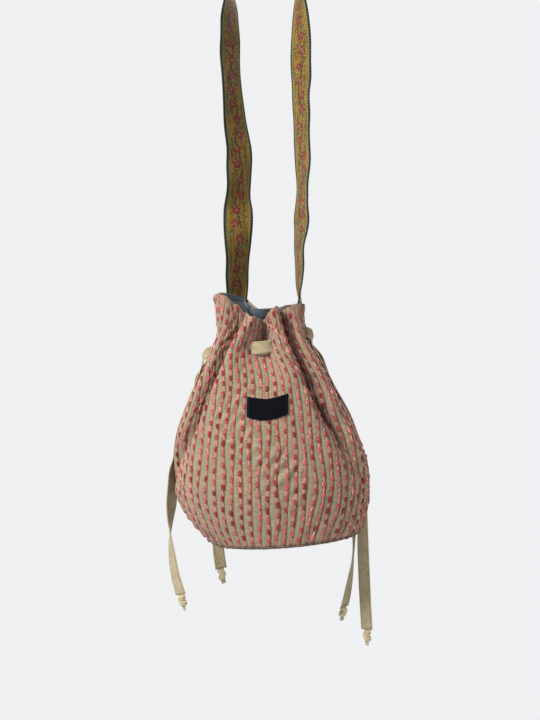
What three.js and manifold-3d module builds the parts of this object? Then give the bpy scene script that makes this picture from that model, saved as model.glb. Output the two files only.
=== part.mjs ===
// A soft drawstring pouch that hangs by its shoulder strap: stitched outer cloth gathered into
// pleats at the neck, a lining, two tape drawstrings with knotted tails, a label and the strap.
// Millimetres, +Z up, +X to the right of someone facing the pouch, +Y away from them.
// The origin is the point of the strap that hangs on a peg.
import * as THREE from "three";
import { mergeVertices } from "three/addons/utils/BufferGeometryUtils.js";
import Module from "manifold-3d";

const wasm = await Module();
wasm.setup();

// Where the pouch hangs
const hangHeight = 618; // hang point above the base seam
const baseOffset = 11.5; // base centre, to the right of the hang point
const leanDegrees = 4.5; // the pouch leans to the left as it hangs

// Outline of the pouch, measured from its own base centre
const bellyHeight = 62;
const neckHeight = 196; // middle of the drawstring casing
const rimHeight = 221; // rim at the middle of the front
const baseHalfWidth = 77;
const bellyHalfWidth = 100.5;
const neckHalfWidth = 55.5;
const rimHalfWidth = 48;
const baseHalfDepth = 52;
const bellyHalfDepth = 60;
const neckHalfDepth = 37;
const rimHalfDepth = 33;
const collarFall = 12; // height over which the neck narrows to the rim
const shoulderCurve = 1.6; // above 1 the shoulders stay full and draw in late
const baseSwing = 10.4; // the base stands to the right of the belly as the pouch leans
const baseSwingCurve = 1.5; // above 1 most of it is near the base
const shoulderSwing = -3.5; // the shoulders sag to the left
const rimSwing = 2.5; // and the rim stands to the right
const plumbLine = -8.5; // the columns hang plumb, this far from the middle of the base
const plumbFade = 40; // over this height below the neck they come to do so

// Cloth
const wall = 1.6; // outer cloth
const liningWall = 0.8;
const clearance = 0.3; // between pieces that touch
const columnsPerPanel = 28; // stitched columns on each outer panel
const ribHeight = 0.6; // how far a channel stands above the mean surface
const foldDepth = 21; // deepest pleat, at the neck
const sidePleatShare = 0.9; // of it, for the pleats that the drawstrings leave by

// Drawstrings
const tapeWidth = 12;
const tapeThickness = 1.3;
const tapeBridge = 10; // how far in front of the middle pleat the tape crosses it
const exitReach = 43.5; // where a drawstring's end leaves the side pleat
const ringPoint = 1.25; // above 1 the ring of tape round the neck is pointed to the front
const tapeTurn = 3.2; // room beside the side pleats for the tape to turn
const tapeRoom = 8.8; // further room that the lining leaves it there
const knotHalf = 6.3; // half the length of a tail's knot
const knotEnd = 3.6; // cut end below the knot
const knotFlatness = 0.86; // its depth as a share of its width

// Label and strap
const labelWidth = 40;
const labelHeight = 20;
const labelThickness = 0.6;
const labelMiddle = 136.5; // height of its middle
const labelSag = 4.2; // its middle hangs lower than its ends
const strapWidth = 30;
const strapThickness = 1.4;
const strapSewn = 10; // length held in the rim seam
const strapSeats = [-22, 14.3]; // columns behind which its two ends are sewn in
const hangRadius = 36; // bend over the peg

// Pleats, crest and valley in turn round the pouch. Angles are degrees from the middle of the
// front, positive to the right, at the rim and then at the turn levels. A valley's fold is its
// share of the fold depth at the rim and then at the fold levels, and it is gone at flatLevel.
// Above 1 the pinch draws it together into a narrow slit, and below 1 it opens it out.
const turnLevels = [1, 0.638, 0.316];
const foldLevels = [1, 0.816, 0.638, 0.459];
const flatLevel = 0.281;
const rimPinch = 1.5; // the most that one is pinched at the rim
const pleats = [
  { at: [-156, -156, -152, -146] },
  { at: [-114, -136, -130, -132], fold: [0.12, 0.67, 0.57, 0.29, 0.05] },
  { at: [-99, -113, -110, -122] },
  { at: [-84, -91, -92, -114], fold: [0.2, sidePleatShare, 0.43, 0.1, 0] },
  { at: [-62, -63, -72, -104] },
  { at: [-24, -44, -53, -92], fold: [0.62, 0.67, 0.67, 0.62, 0.38], pinch: 2 },
  { at: [-9, -33, -44, -45] },
  { at: [3, 5, 2, 0], fold: [0.66, 1, 0.29, 0, 0], pinch: 0.7 },
  { at: [14, 22, 30, 36] },
  { at: [30, 40, 49, 62], fold: [0.52, 0.67, 0.71, 0.64, 0.38], pinch: 2.4 },
  { at: [50, 60, 65, 79] },
  { at: [92, 90, 92, 94], fold: [0.12, sidePleatShare, 0.38, 0.05, 0] },
  { at: [120, 114, 112, 108] },
  { at: [138, 136, 130, 124], fold: [0.52, 0.67, 0.52, 0.29, 0.05] },
  { at: [157, 156, 152, 146] },
  { at: [180, 180, 180, 180], fold: [0.6, 1, 0.38, 0.1, 0] },
];

// How much higher the rim stands than at the middle of the front, by angle
const rimRise = [
  [-152, 34],
  [-120, 36],
  [-90, 33],
  [-64, 33],
  [-50, 30],
  [-36, 20],
  [-24, 11],
  [-11, 6],
  [3, 2],
  [14, 12],
  [22, 15],
  [30, 9],
  [40, 13],
  [50, 16],
  [70, 13],
  [92, 16],
  [120, 18],
  [150, 17],
  [180, 16],
];

// Number of steps in the meshes
const stepsPerColumn = 2;
const bandsBelowNeck = 12;
const bandsAboveNeck = 4;
const bandCrowding = 1.15; // above 1 the bands are lower near the base
const samplesRound = 720;
const liningSteps = 28; // across one lining panel
const ringSteps = 56; // round the neck for one tape
const ovalSteps = 28; // for half of each base oval
const labelSteps = { across: 8, up: 4 };
const strapCross = 4; // across the ribbon
const bendSteps = 12; // over the peg
const knotSides = 10;

// Levels of the lining's rows: 0 at the base, 1 at the neck, 2 at the rim where it folds
const liningLevels = [0.012, 0.14, 0.32, 0.5, 0.66, 0.79, 0.92, 1, 1.5, 1.62, 1.74, 1.86, 1.985];

const RADIANS = Math.PI / 180;
const columnsRound = 2 * columnsPerPanel;
const seamColumn = columnsPerPanel / 2;

const clamp01 = (value) => Math.min(1, Math.max(0, value));
const mix = (a, b, share) => a + (b - a) * share;
const smooth = (share) => share * share * (3 - 2 * share);
const ramp = (value, from, to) => smooth(clamp01((value - from) / (to - from)));

// A width or depth of the pouch at a height: full at the belly, drawn in at base, neck and rim
function profile(height, base, belly, neck, rim) {
  if (height > neckHeight) {
    return rim + (neck - rim) * Math.exp((neckHeight - height) / collarFall);
  }
  if (height > bellyHeight) {
    const up = (height - bellyHeight) / (neckHeight - bellyHeight);
    return belly - (belly - neck) * up ** shoulderCurve;
  }
  const down = (bellyHeight - height) / bellyHeight;
  return belly - (belly - base) * down ** 2;
}

const halfWidth = (height) =>
  profile(height, baseHalfWidth, bellyHalfWidth, neckHalfWidth, rimHalfWidth);
const halfDepth = (height) =>
  profile(height, baseHalfDepth, bellyHalfDepth, neckHalfDepth, rimHalfDepth);

// Value at an angle of a list of stations round the pouch, eased from each to the next
function around(angle, stations) {
  const last = stations[stations.length - 1];
  let before = [last[0] - 360, last[1]];
  let turned = angle;
  while (turned >= last[0]) turned -= 360;
  while (turned < before[0]) turned += 360;
  for (const after of stations) {
    if (turned < after[0]) {
      const share = (turned - before[0]) / (after[0] - before[0]);
      return mix(before[1], after[1], (1 - Math.cos(Math.PI * share)) / 2);
    }
    before = after;
  }
  return last[1];
}

// A level runs from 0 at the base seam to 1 at the neck and 2 at the rim
function heightAt(level, angle) {
  if (level <= 1) return level * neckHeight;
  return neckHeight + (level - 1) * (rimHeight - neckHeight + around(angle, rimRise));
}

// Value at a level of a list of values at falling levels
function fromLevels(level, levels, values) {
  for (let i = 1; i < levels.length; i += 1) {
    if (level > levels[i]) {
      const share = clamp01((levels[i - 1] - level) / (levels[i - 1] - levels[i]));
      return mix(values[i - 1], values[i], share);
    }
  }
  return values[levels.length - 1];
}

function pleatStations(level) {
  return pleats.map(({ at, fold = [0, 0, 0, 0, 0], pinch = 1 }) => {
    const [rimAngle, ...angles] = at;
    const [rimFold, ...folds] = fold;
    const up = Math.max(0, level - 1);
    const angle = mix(fromLevels(level, turnLevels, angles), rimAngle, up);
    const share = mix(fromLevels(level, [...foldLevels, flatLevel], [...folds, 0]), rimFold, up);
    return { angle, depth: foldDepth * share, pinch: mix(pinch, Math.min(pinch, rimPinch), up) };
  });
}

// Depth of the pleats at an angle, eased from each crest into the valley beside it and out again
function foldAt(angle, stations) {
  const last = stations[stations.length - 1];
  let before = { ...last, angle: last.angle - 360 };
  let turned = angle;
  while (turned >= last.angle) turned -= 360;
  while (turned < before.angle) turned += 360;
  for (const after of stations) {
    if (turned < after.angle) {
      const share = (turned - before.angle) / (after.angle - before.angle);
      const eased = (1 - Math.cos(Math.PI * share)) / 2;
      const [crest, valley] = before.depth > after.depth ? [after, before] : [before, after];
      const toward = valley === after ? eased : 1 - eased;
      return mix(crest.depth, valley.depth, toward ** valley.pinch);
    }
    before = after;
  }
  return last.depth;
}

// How far the pouch stands to the right of its own middle line at a height
function swingAt(height) {
  const down = clamp01(1 - height / bellyHeight);
  const up = clamp01((height - bellyHeight) / (neckHeight - bellyHeight));
  const shoulder = shoulderSwing * Math.sin(Math.PI * up) ** 2;
  return baseSwing * down ** baseSwingCurve + shoulder + rimSwing * ramp(height, neckHeight, rimHeight);
}

// Point of the mean outer surface at an angle, with the pleats pushed in along the oval's normal
function surfacePoint(angle, level, stations) {
  const height = heightAt(level, angle);
  const across = halfWidth(height);
  const deep = halfDepth(height);
  const sine = Math.sin(angle * RADIANS);
  const cosine = Math.cos(angle * RADIANS);
  const normal = new THREE.Vector2(sine / across, -cosine / deep).normalize();
  const fold = foldAt(angle, stations);
  return new THREE.Vector3(
    across * sine - fold * normal.x + swingAt(height),
    -deep * cosine - fold * normal.y,
    height,
  );
}

// How far the columns drift to the right of the middle of the front, to hang plumb at a height
function driftAt(height) {
  const plumb = plumbLine + height * Math.tan(leanDegrees * RADIANS) - swingAt(height);
  return plumb * ramp(neckHeight - height, 0, plumbFade);
}

// The cloth at one level, measured along itself: column 0 starts in the middle of the front and
// column 28 or -28 in the middle of the back, and the columns run down into the pleats
function clothAt(level) {
  const stations = pleatStations(level);
  const half = samplesRound / 2;
  const sides = [1, -1].map((side) => {
    const angles = [];
    const lengths = [0];
    let previous = null;
    for (let i = 0; i <= half; i += 1) {
      const angle = (side * 180 * i) / half;
      const point = surfacePoint(angle, level, stations);
      angles.push(angle);
      if (previous) lengths.push(lengths[i - 1] + point.distanceTo(previous));
      previous = point;
    }
    return { angles, lengths, whole: lengths[half] };
  });
  const pitch = (sides[0].whole + sides[1].whole) / columnsRound;
  const drift = driftAt(Math.min(level, 1) * neckHeight) / pitch;
  const angleOf = (column) => {
    const drifted = wrapColumn(column + drift);
    const side = sides[drifted < 0 ? 1 : 0];
    const target = (side.whole * Math.abs(drifted)) / columnsPerPanel;
    let i = 1;
    while (i < half && side.lengths[i] < target) i += 1;
    const share = (target - side.lengths[i - 1]) / (side.lengths[i] - side.lengths[i - 1]);
    return mix(side.angles[i - 1], side.angles[i], share);
  };
  return {
    angleOf,
    pitch,
    pointOf: (column) => surfacePoint(angleOf(column), level, stations),
  };
}

const clothLevels = new Map();
function cloth(level) {
  if (!clothLevels.has(level)) clothLevels.set(level, clothAt(level));
  return clothLevels.get(level);
}

// Outward normal of the mean surface, from its neighbours along and up the cloth
const neighbour = { column: 0.3, level: 0.02 };

function clothNormal(column, level) {
  const lower = Math.max(0, level - neighbour.level);
  const upper = Math.min(2, level + neighbour.level);
  const along = cloth(level)
    .pointOf(column + neighbour.column)
    .sub(cloth(level).pointOf(column - neighbour.column));
  const up = cloth(upper).pointOf(column).sub(cloth(lower).pointOf(column));
  return along.cross(up).normalize();
}

const offsetPoint = (column, level, distance) =>
  cloth(level).pointOf(column).addScaledVector(clothNormal(column, level), distance);

// A closed solid between two grids of points of the same size, outer and inner
function solidBetween(outer, inner, closedRound = false) {
  const rows = outer.length;
  const columns = outer[0].length;
  const positions = [];
  for (const grid of [outer, inner]) {
    for (const row of grid) row.forEach((point) => positions.push(point.x, point.y, point.z));
  }
  const at = (side, row, column) => side * rows * columns + row * columns + (column % columns);
  const index = [];
  const quad = (a, b, c, d) => index.push(a, b, c, a, c, d);
  const across = closedRound ? columns : columns - 1;
  for (let row = 0; row < rows - 1; row += 1) {
    for (let column = 0; column < across; column += 1) {
      const next = column + 1;
      quad(at(0, row, column), at(0, row, next), at(0, row + 1, next), at(0, row + 1, column));
      quad(at(1, row, column), at(1, row + 1, column), at(1, row + 1, next), at(1, row, next));
    }
  }
  const top = rows - 1;
  for (let column = 0; column < across; column += 1) {
    const next = column + 1;
    quad(at(0, 0, column), at(1, 0, column), at(1, 0, next), at(0, 0, next));
    quad(at(0, top, column), at(0, top, next), at(1, top, next), at(1, top, column));
  }
  if (!closedRound) {
    const end = columns - 1;
    for (let row = 0; row < top; row += 1) {
      quad(at(0, row, 0), at(0, row + 1, 0), at(1, row + 1, 0), at(1, row, 0));
      quad(at(0, row, end), at(1, row, end), at(1, row + 1, end), at(0, row + 1, end));
    }
  }
  return facingOut(positions, index);
}

// Turns every face round if the closed surface encloses a negative volume
function facingOut(positions, index) {
  const corner = (i) => new THREE.Vector3().fromArray(positions, 3 * i);
  let volume = 0;
  for (let i = 0; i < index.length; i += 3) {
    const [a, b, c] = [corner(index[i]), corner(index[i + 1]), corner(index[i + 2])];
    volume += a.dot(b.cross(c));
  }
  if (volume < 0) {
    for (let i = 0; i < index.length; i += 3) {
      [index[i + 1], index[i + 2]] = [index[i + 2], index[i + 1]];
    }
  }
  const geometry = new THREE.BufferGeometry();
  geometry.setAttribute("position", new THREE.Float32BufferAttribute(positions, 3));
  geometry.setIndex(index);
  geometry.computeVertexNormals();
  return geometry;
}

const weld = 0.001; // corners closer than this are one

function toSolid(geometry) {
  const bare = geometry.clone();
  bare.deleteAttribute("normal");
  bare.deleteAttribute("uv");
  const merged = mergeVertices(bare, weld);
  return new wasm.Manifold(
    new wasm.Mesh({
      numProp: 3,
      vertProperties: new Float32Array(merged.attributes.position.array),
      triVerts: new Uint32Array(merged.index.array),
    }),
  );
}

function toGeometry(solid) {
  const mesh = solid.getMesh();
  const geometry = new THREE.BufferGeometry();
  geometry.setAttribute("position", new THREE.BufferAttribute(mesh.vertProperties, 3));
  geometry.setIndex(new THREE.BufferAttribute(mesh.triVerts, 1));
  geometry.computeVertexNormals();
  return geometry;
}

// What is left in one piece of a solid once the cutters are taken out of it
function without(geometry, cutters) {
  let solid = toSolid(geometry);
  for (const cutter of cutters) solid = solid.subtract(toSolid(cutter));
  const bodies = solid.decompose();
  bodies.sort((a, b) => b.volume() - a.volume());
  return toGeometry(bodies[0]);
}

function clothLevelsUp() {
  const levels = [];
  for (let i = 0; i < bandsBelowNeck; i += 1) {
    levels.push((i / bandsBelowNeck) ** bandCrowding);
  }
  for (let i = 0; i <= bandsAboveNeck; i += 1) levels.push(1 + i / bandsAboveNeck);
  return levels;
}

// Outer panels: channels stand up between the stitched columns, and the back of the cloth is flat
function outerPanel(middleColumn) {
  const seamGap = clearance / 2 / cloth(1).pitch;
  const steps = columnsPerPanel * stepsPerColumn;
  const outer = [];
  const inner = [];
  for (const level of clothLevelsUp()) {
    const outerRow = [];
    const innerRow = [];
    for (let i = 0; i <= steps; i += 1) {
      let local = i / stepsPerColumn - seamColumn;
      if (i === 0) local += seamGap;
      if (i === steps) local -= seamGap;
      const column = wrapColumn(middleColumn + local);
      const rib = i % stepsPerColumn === 0 ? -ribHeight : ribHeight;
      outerRow.push(offsetPoint(column, level, rib));
      innerRow.push(offsetPoint(column, level, -wall));
    }
    outer.push(outerRow);
    inner.push(innerRow);
  }
  return solidBetween(outer, inner);
}

function wrapColumn(column) {
  if (column > columnsPerPanel) return column - columnsRound;
  if (column < -columnsPerPanel) return column + columnsRound;
  return column;
}

// Room that the lining leaves at a column for the strap ends, sewn in behind the outer cloth
const seatMargin = 3; // beyond each edge of the ribbon
const seatFade = 1.2; // columns over which the room closes again

function seatRoom(column) {
  const reach = (strapWidth / 2 + seatMargin) / cloth(2).pitch;
  let room = 0;
  for (const seat of strapSeats) {
    const away = Math.abs(wrapColumn(column - seat));
    room = Math.max(room, 1 - ramp(away, reach, reach + seatFade));
  }
  return room * (strapThickness + 4 * clearance);
}

// The lining hangs smooth inside the drawstrings and follows the pleats only at the rim
const liningGap = wall + clearance;
const liningSlack = 0.6; // further room for the lining where it hangs smooth
const roomFrom = 40; // the room beside the tape opens over these heights below the neck
const roomTo = 16;
const follows = { from: 1.5, over: 0.36 }; // levels over which it comes to follow the pleats
const followSlack = 2.4; // it starts this much further in, where it begins to
const pleatSlack = 0.22; // it cuts the pleats' depth by this share

function deepestFold(level) {
  return Math.max(...pleatStations(level).map((station) => station.depth));
}

function smoothLiningPoint(column, level, extra) {
  const angle = cloth(level).angleOf(column);
  const height = heightAt(level, angle);
  const capped = Math.min(height, heightAt(Math.min(level, 1), angle));
  const inset = deepestFold(Math.min(level, 1)) + liningGap + liningSlack + extra;
  const beside = tapeRoom * ramp(capped, neckHeight - roomFrom, neckHeight - roomTo);
  return new THREE.Vector3(
    (halfWidth(capped) - inset - beside) * Math.sin(angle * RADIANS) + swingAt(height),
    -(halfDepth(capped) - inset) * Math.cos(angle * RADIANS),
    height,
  );
}

function liningPoint(column, level, extra) {
  const follow = clamp01((level - follows.from) / follows.over);
  const plain = smoothLiningPoint(column, level, extra);
  if (follow === 0) return plain;
  const fold = foldAt(cloth(level).angleOf(column), pleatStations(level));
  const slack = clearance + followSlack * (1 - follow) + pleatSlack * fold;
  const inset = liningGap + slack + seatRoom(column) + extra;
  return plain.lerp(offsetPoint(column, level, -inset), follow);
}

function liningPanel(middleColumn) {
  const seamGap = clearance / 2 / cloth(1).pitch;
  const outer = [];
  const inner = [];
  for (const level of liningLevels) {
    const outerRow = [];
    const innerRow = [];
    for (let i = 0; i <= liningSteps; i += 1) {
      let local = (i / liningSteps) * columnsPerPanel - seamColumn;
      if (i === 0) local += 2 * seamGap;
      if (i === liningSteps) local -= 2 * seamGap;
      const column = wrapColumn(middleColumn + local);
      outerRow.push(liningPoint(column, level, 0));
      innerRow.push(liningPoint(column, level, liningWall));
    }
    outer.push(outerRow);
    inner.push(innerRow);
  }
  return solidBetween(outer, inner);
}

// Flat oval of cloth, under the middle of the pouch at a height
function ovalSheet(across, deep, thickness, bottom, height) {
  const shape = new THREE.Shape();
  shape.absellipse(swingAt(height), 0, across, deep, 0, 2 * Math.PI, false, 0);
  const geometry = new THREE.ExtrudeGeometry(shape, {
    depth: thickness,
    bevelEnabled: false,
    curveSegments: ovalSteps,
  });
  return geometry.translate(0, 0, bottom);
}

// The two bases close the outer cloth and the lining, each just inside its own panels
const baseSlack = 0.8; // for the chords of the panels' channels
const liningBaseSlack = 0.2;

const basePanel = () => {
  const inset = wall + clearance + baseSlack;
  return ovalSheet(baseHalfWidth - inset, baseHalfDepth - inset, wall, 0, 0);
};

const liningBase = () => {
  const height = liningLevels[0] * neckHeight;
  const inset = liningGap + liningSlack + liningWall + clearance + liningBaseSlack;
  const across = halfWidth(height) - inset;
  const deep = halfDepth(height) - inset;
  return ovalSheet(across, deep, liningWall, wall + clearance, height);
};

// A flat band along a route: each station has a point and the direction of the band's width
function band(stations, width, thickness, crossSteps = 1) {
  const points = stations.map((station) => station.at);
  const outer = [];
  const inner = [];
  stations.forEach((station, i) => {
    const before = points[Math.max(0, i - 1)];
    const after = points[Math.min(points.length - 1, i + 1)];
    const tangent = after.clone().sub(before).normalize();
    const wide = station.wide.clone().addScaledVector(tangent, -station.wide.dot(tangent)).normalize();
    const facing = tangent.clone().cross(wide);
    const outerRow = [];
    const innerRow = [];
    for (let k = 0; k <= crossSteps; k += 1) {
      const side = width * (k / crossSteps - 0.5);
      const middle = station.at.clone().addScaledVector(wide, side);
      outerRow.push(middle.clone().addScaledVector(facing, thickness / 2));
      innerRow.push(middle.clone().addScaledVector(facing, -thickness / 2));
    }
    outer.push(outerRow);
    inner.push(innerRow);
  });
  return solidBetween(outer, inner);
}

// Drawstring stretch in the casing: in through the side seam, once round the neck, out again
const ringHalfWidth = neckHalfWidth - foldDepth * sidePleatShare - wall - tapeTurn;
const ringHalfDepth = neckHalfDepth - foldDepth + tapeBridge;
const turnedIn = 24; // degrees from the side to where the tape has joined the ring
const climbSteps = 9; // steps over which an end rises to its exit
const joins = [
  { out: 3.4, apart: 0.4 }, // beyond the ring, and how far the two ends stand apart there
  { out: 0.6, apart: 2.4 },
];

const pointed = (value) => Math.sign(value) * Math.abs(value) ** ringPoint;

function drawstringRoute({ side, layer, lift }) {
  const inwards = layer * (tapeThickness + 2 * clearance);
  const across = ringHalfWidth - inwards;
  const deep = ringHalfDepth - inwards;
  const stations = [];
  const half = tapeThickness / 2 + clearance;
  const push = (x, y, raised) => {
    stations.push({
      at: new THREE.Vector3(side * x, y, neckHeight + raised),
      wide: new THREE.Vector3(0, 0, 1),
    });
  };
  push(exitReach, -half, lift);
  push((exitReach + ringHalfWidth) / 2, -half, lift);
  joins.forEach((join) => push(ringHalfWidth + join.out, -half - join.apart, lift));
  for (let i = 0; i <= ringSteps; i += 1) {
    const angle = mix(90 - turnedIn, -270 + turnedIn, i / ringSteps) * RADIANS;
    const raised = lift * (1 - smooth(clamp01(Math.min(i, ringSteps - i) / climbSteps)));
    push(across * pointed(Math.sin(angle)), -deep * pointed(Math.cos(angle)), raised);
  }
  [...joins].reverse().forEach((join) => push(ringHalfWidth + join.out, half + join.apart, lift));
  push((exitReach + ringHalfWidth) / 2, half, lift);
  push(exitReach, half, lift);
  return stations;
}

// The right drawstring lies inside the left one, so its ends rise over it on their way out
const drawstrings = [
  { name: "left", side: -1, layer: 0, lift: 0 },
  { name: "right", side: 1, layer: 1, lift: tapeWidth + 2 * clearance },
];

const drawstring = (string) => band(drawstringRoute(string), tapeWidth, tapeThickness);

// Room for it in the outer cloth: one slot for each end, which meet in the middle, and one between
const slitRoom = clearance + 0.1;
const endStations = joins.length + 3;

function slotsFor(string) {
  const route = drawstringRoute(string);
  const parts = [
    route.slice(0, endStations),
    route.slice(endStations - 2, 2 - endStations),
    route.slice(-endStations),
  ];
  return parts.map((part) => band(part, tapeWidth + 2 * slitRoom, tapeThickness + 2 * slitRoom));
}

// Label: lies on the channels in the middle of the front, its middle sagging a little
function label() {
  const { across, up } = labelSteps;
  const outer = [];
  const inner = [];
  for (let row = 0; row <= up; row += 1) {
    const outerRow = [];
    const innerRow = [];
    for (let i = 0; i <= across; i += 1) {
      const side = (i / across - 0.5) * labelWidth;
      const sag = labelSag * (1 - ((2 * side) / labelWidth) ** 2);
      const height = labelMiddle + (row / up - 0.5) * labelHeight - sag + labelSag / 2;
      const level = height / neckHeight;
      const column = side / cloth(level).pitch;
      const clear = ribHeight + clearance;
      outerRow.push(offsetPoint(column, level, clear + labelThickness));
      innerRow.push(offsetPoint(column, level, clear));
    }
    outer.push(outerRow);
    inner.push(innerRow);
  }
  return solidBetween(outer, inner);
}

// The pouch's own frame in the hanging one
const pouchPlace = new THREE.Matrix4().compose(
  new THREE.Vector3(baseOffset, 0, -hangHeight),
  new THREE.Quaternion().setFromAxisAngle(new THREE.Vector3(0, 1, 0), -leanDegrees * RADIANS),
  new THREE.Vector3(1, 1, 1),
);

// Shoulder strap: points on the middle line of the free ribbon down each side, by hand. Each has
// its fall as a share of the drop from the peg to the rim, and the angle its width turns from
// straight across the view.
const strapDrop = hangHeight - rimHeight;
const strapLeft = [
  { fall: 0.887, x: -29.6, y: 22, turned: 42 },
  { fall: 0.831, x: -29.3, y: 20, turned: 40 },
  { fall: 0.781, x: -28.9, y: 17, turned: 26 },
  { fall: 0.733, x: -28.4, y: 14, turned: 6 },
  { fall: 0.695, x: -28.2, y: 12, turned: 16 },
  { fall: 0.65, x: -28, y: 10, turned: 38 },
  { fall: 0.554, x: -26.9, y: 7, turned: 32 },
  { fall: 0.453, x: -31.6, y: 4, turned: 44 },
  { fall: 0.353, x: -35.3, y: 2, turned: 52 },
  { fall: 0.252, x: -36.4, y: 1, turned: 51 },
  { fall: 0.181, x: -36, y: 0, turned: 62 },
  { fall: 0.136, x: -36, y: 0, turned: 76 },
];
const strapRight = [
  { fall: 0.902, x: 35.6, y: 4, turned: 82 },
  { fall: 0.856, x: 35.7, y: 3, turned: 77 },
  { fall: 0.811, x: 35.8, y: 2, turned: 74 },
  { fall: 0.756, x: 37.2, y: 1, turned: 66 },
  { fall: 0.723, x: 38, y: 0, turned: 62 },
  { fall: 0.68, x: 38.4, y: 0, turned: 68 },
  { fall: 0.635, x: 38.6, y: 0, turned: 71 },
  { fall: 0.574, x: 39.4, y: 0, turned: 61 },
  { fall: 0.479, x: 38, y: 0, turned: 60 },
  { fall: 0.403, x: 37.6, y: 0, turned: 56 },
  { fall: 0.297, x: 37.4, y: 0, turned: 48 },
  { fall: 0.202, x: 36.4, y: 0, turned: 60 },
  { fall: 0.136, x: 36, y: 0, turned: 76 },
];

function ribbonRow(at, turned, tangent) {
  const angle = turned * RADIANS;
  const flat = new THREE.Vector3(Math.cos(angle), Math.sin(angle), 0);
  const wide = flat.addScaledVector(tangent, -flat.dot(tangent)).normalize();
  const facing = tangent.clone().cross(wide).normalize();
  const outerRow = [];
  const innerRow = [];
  for (let k = 0; k <= strapCross; k += 1) {
    const point = at.clone().addScaledVector(wide, strapWidth * (k / strapCross - 0.5));
    outerRow.push(point.clone().addScaledVector(facing, strapThickness / 2));
    innerRow.push(point.clone().addScaledVector(facing, -strapThickness / 2));
  }
  return { outerRow, innerRow };
}

// Rows of the strap end that lie between the outer cloth and the lining
function sewnRows(seat) {
  const rows = [];
  const pitch = cloth(2).pitch;
  const middle = heightAt(2, cloth(2).angleOf(seat));
  for (const share of [1, 0.5, 0]) {
    const outerRow = [];
    const innerRow = [];
    for (let k = 0; k <= strapCross; k += 1) {
      const column = seat + (strapWidth / pitch) * (k / strapCross - 0.5);
      const level = 2 - (strapSewn * share) / (middle - neckHeight);
      const near = offsetPoint(column, level, -wall - 3 * clearance);
      const far = offsetPoint(column, level, -wall - 3 * clearance - strapThickness);
      outerRow.push(near.applyMatrix4(pouchPlace));
      innerRow.push(far.applyMatrix4(pouchPlace));
    }
    rows.push({ outerRow, innerRow });
  }
  return rows;
}

function strapRows() {
  const placeOf = (p) => new THREE.Vector3(p.x, p.y, -p.fall * strapDrop);
  const up = strapLeft.map((p) => ({ at: placeOf(p), turned: p.turned }));
  const down = strapRight.map((p) => ({ at: placeOf(p), turned: 180 - p.turned })).reverse();
  const middles = [...up];
  for (let i = 0; i <= bendSteps; i += 1) {
    const angle = (Math.PI * i) / bendSteps;
    const reach = hangRadius + strapThickness / 2;
    middles.push({
      at: new THREE.Vector3(-reach * Math.cos(angle), 0, reach * Math.sin(angle) - hangRadius),
      turned: 90,
    });
  }
  middles.push(...down);
  const points = middles.map((middle) => middle.at);
  const curve = new THREE.CatmullRomCurve3(points, false, "centripetal");
  return middles.map((middle, i) => {
    const tangent = curve.getTangent(i / (middles.length - 1));
    return ribbonRow(middle.at, middle.turned, tangent);
  });
}

function strap() {
  const left = sewnRows(strapSeats[0]);
  const right = sewnRows(strapSeats[1]).reverse();
  const free = strapRows();
  const flip = (row) => ({
    outerRow: [...row.outerRow].reverse(),
    innerRow: [...row.innerRow].reverse(),
  });
  const rows = [...left.map(flip), ...free, ...right];
  return solidBetween(
    rows.map((row) => row.outerRow),
    rows.map((row) => row.innerRow),
  );
}

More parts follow.
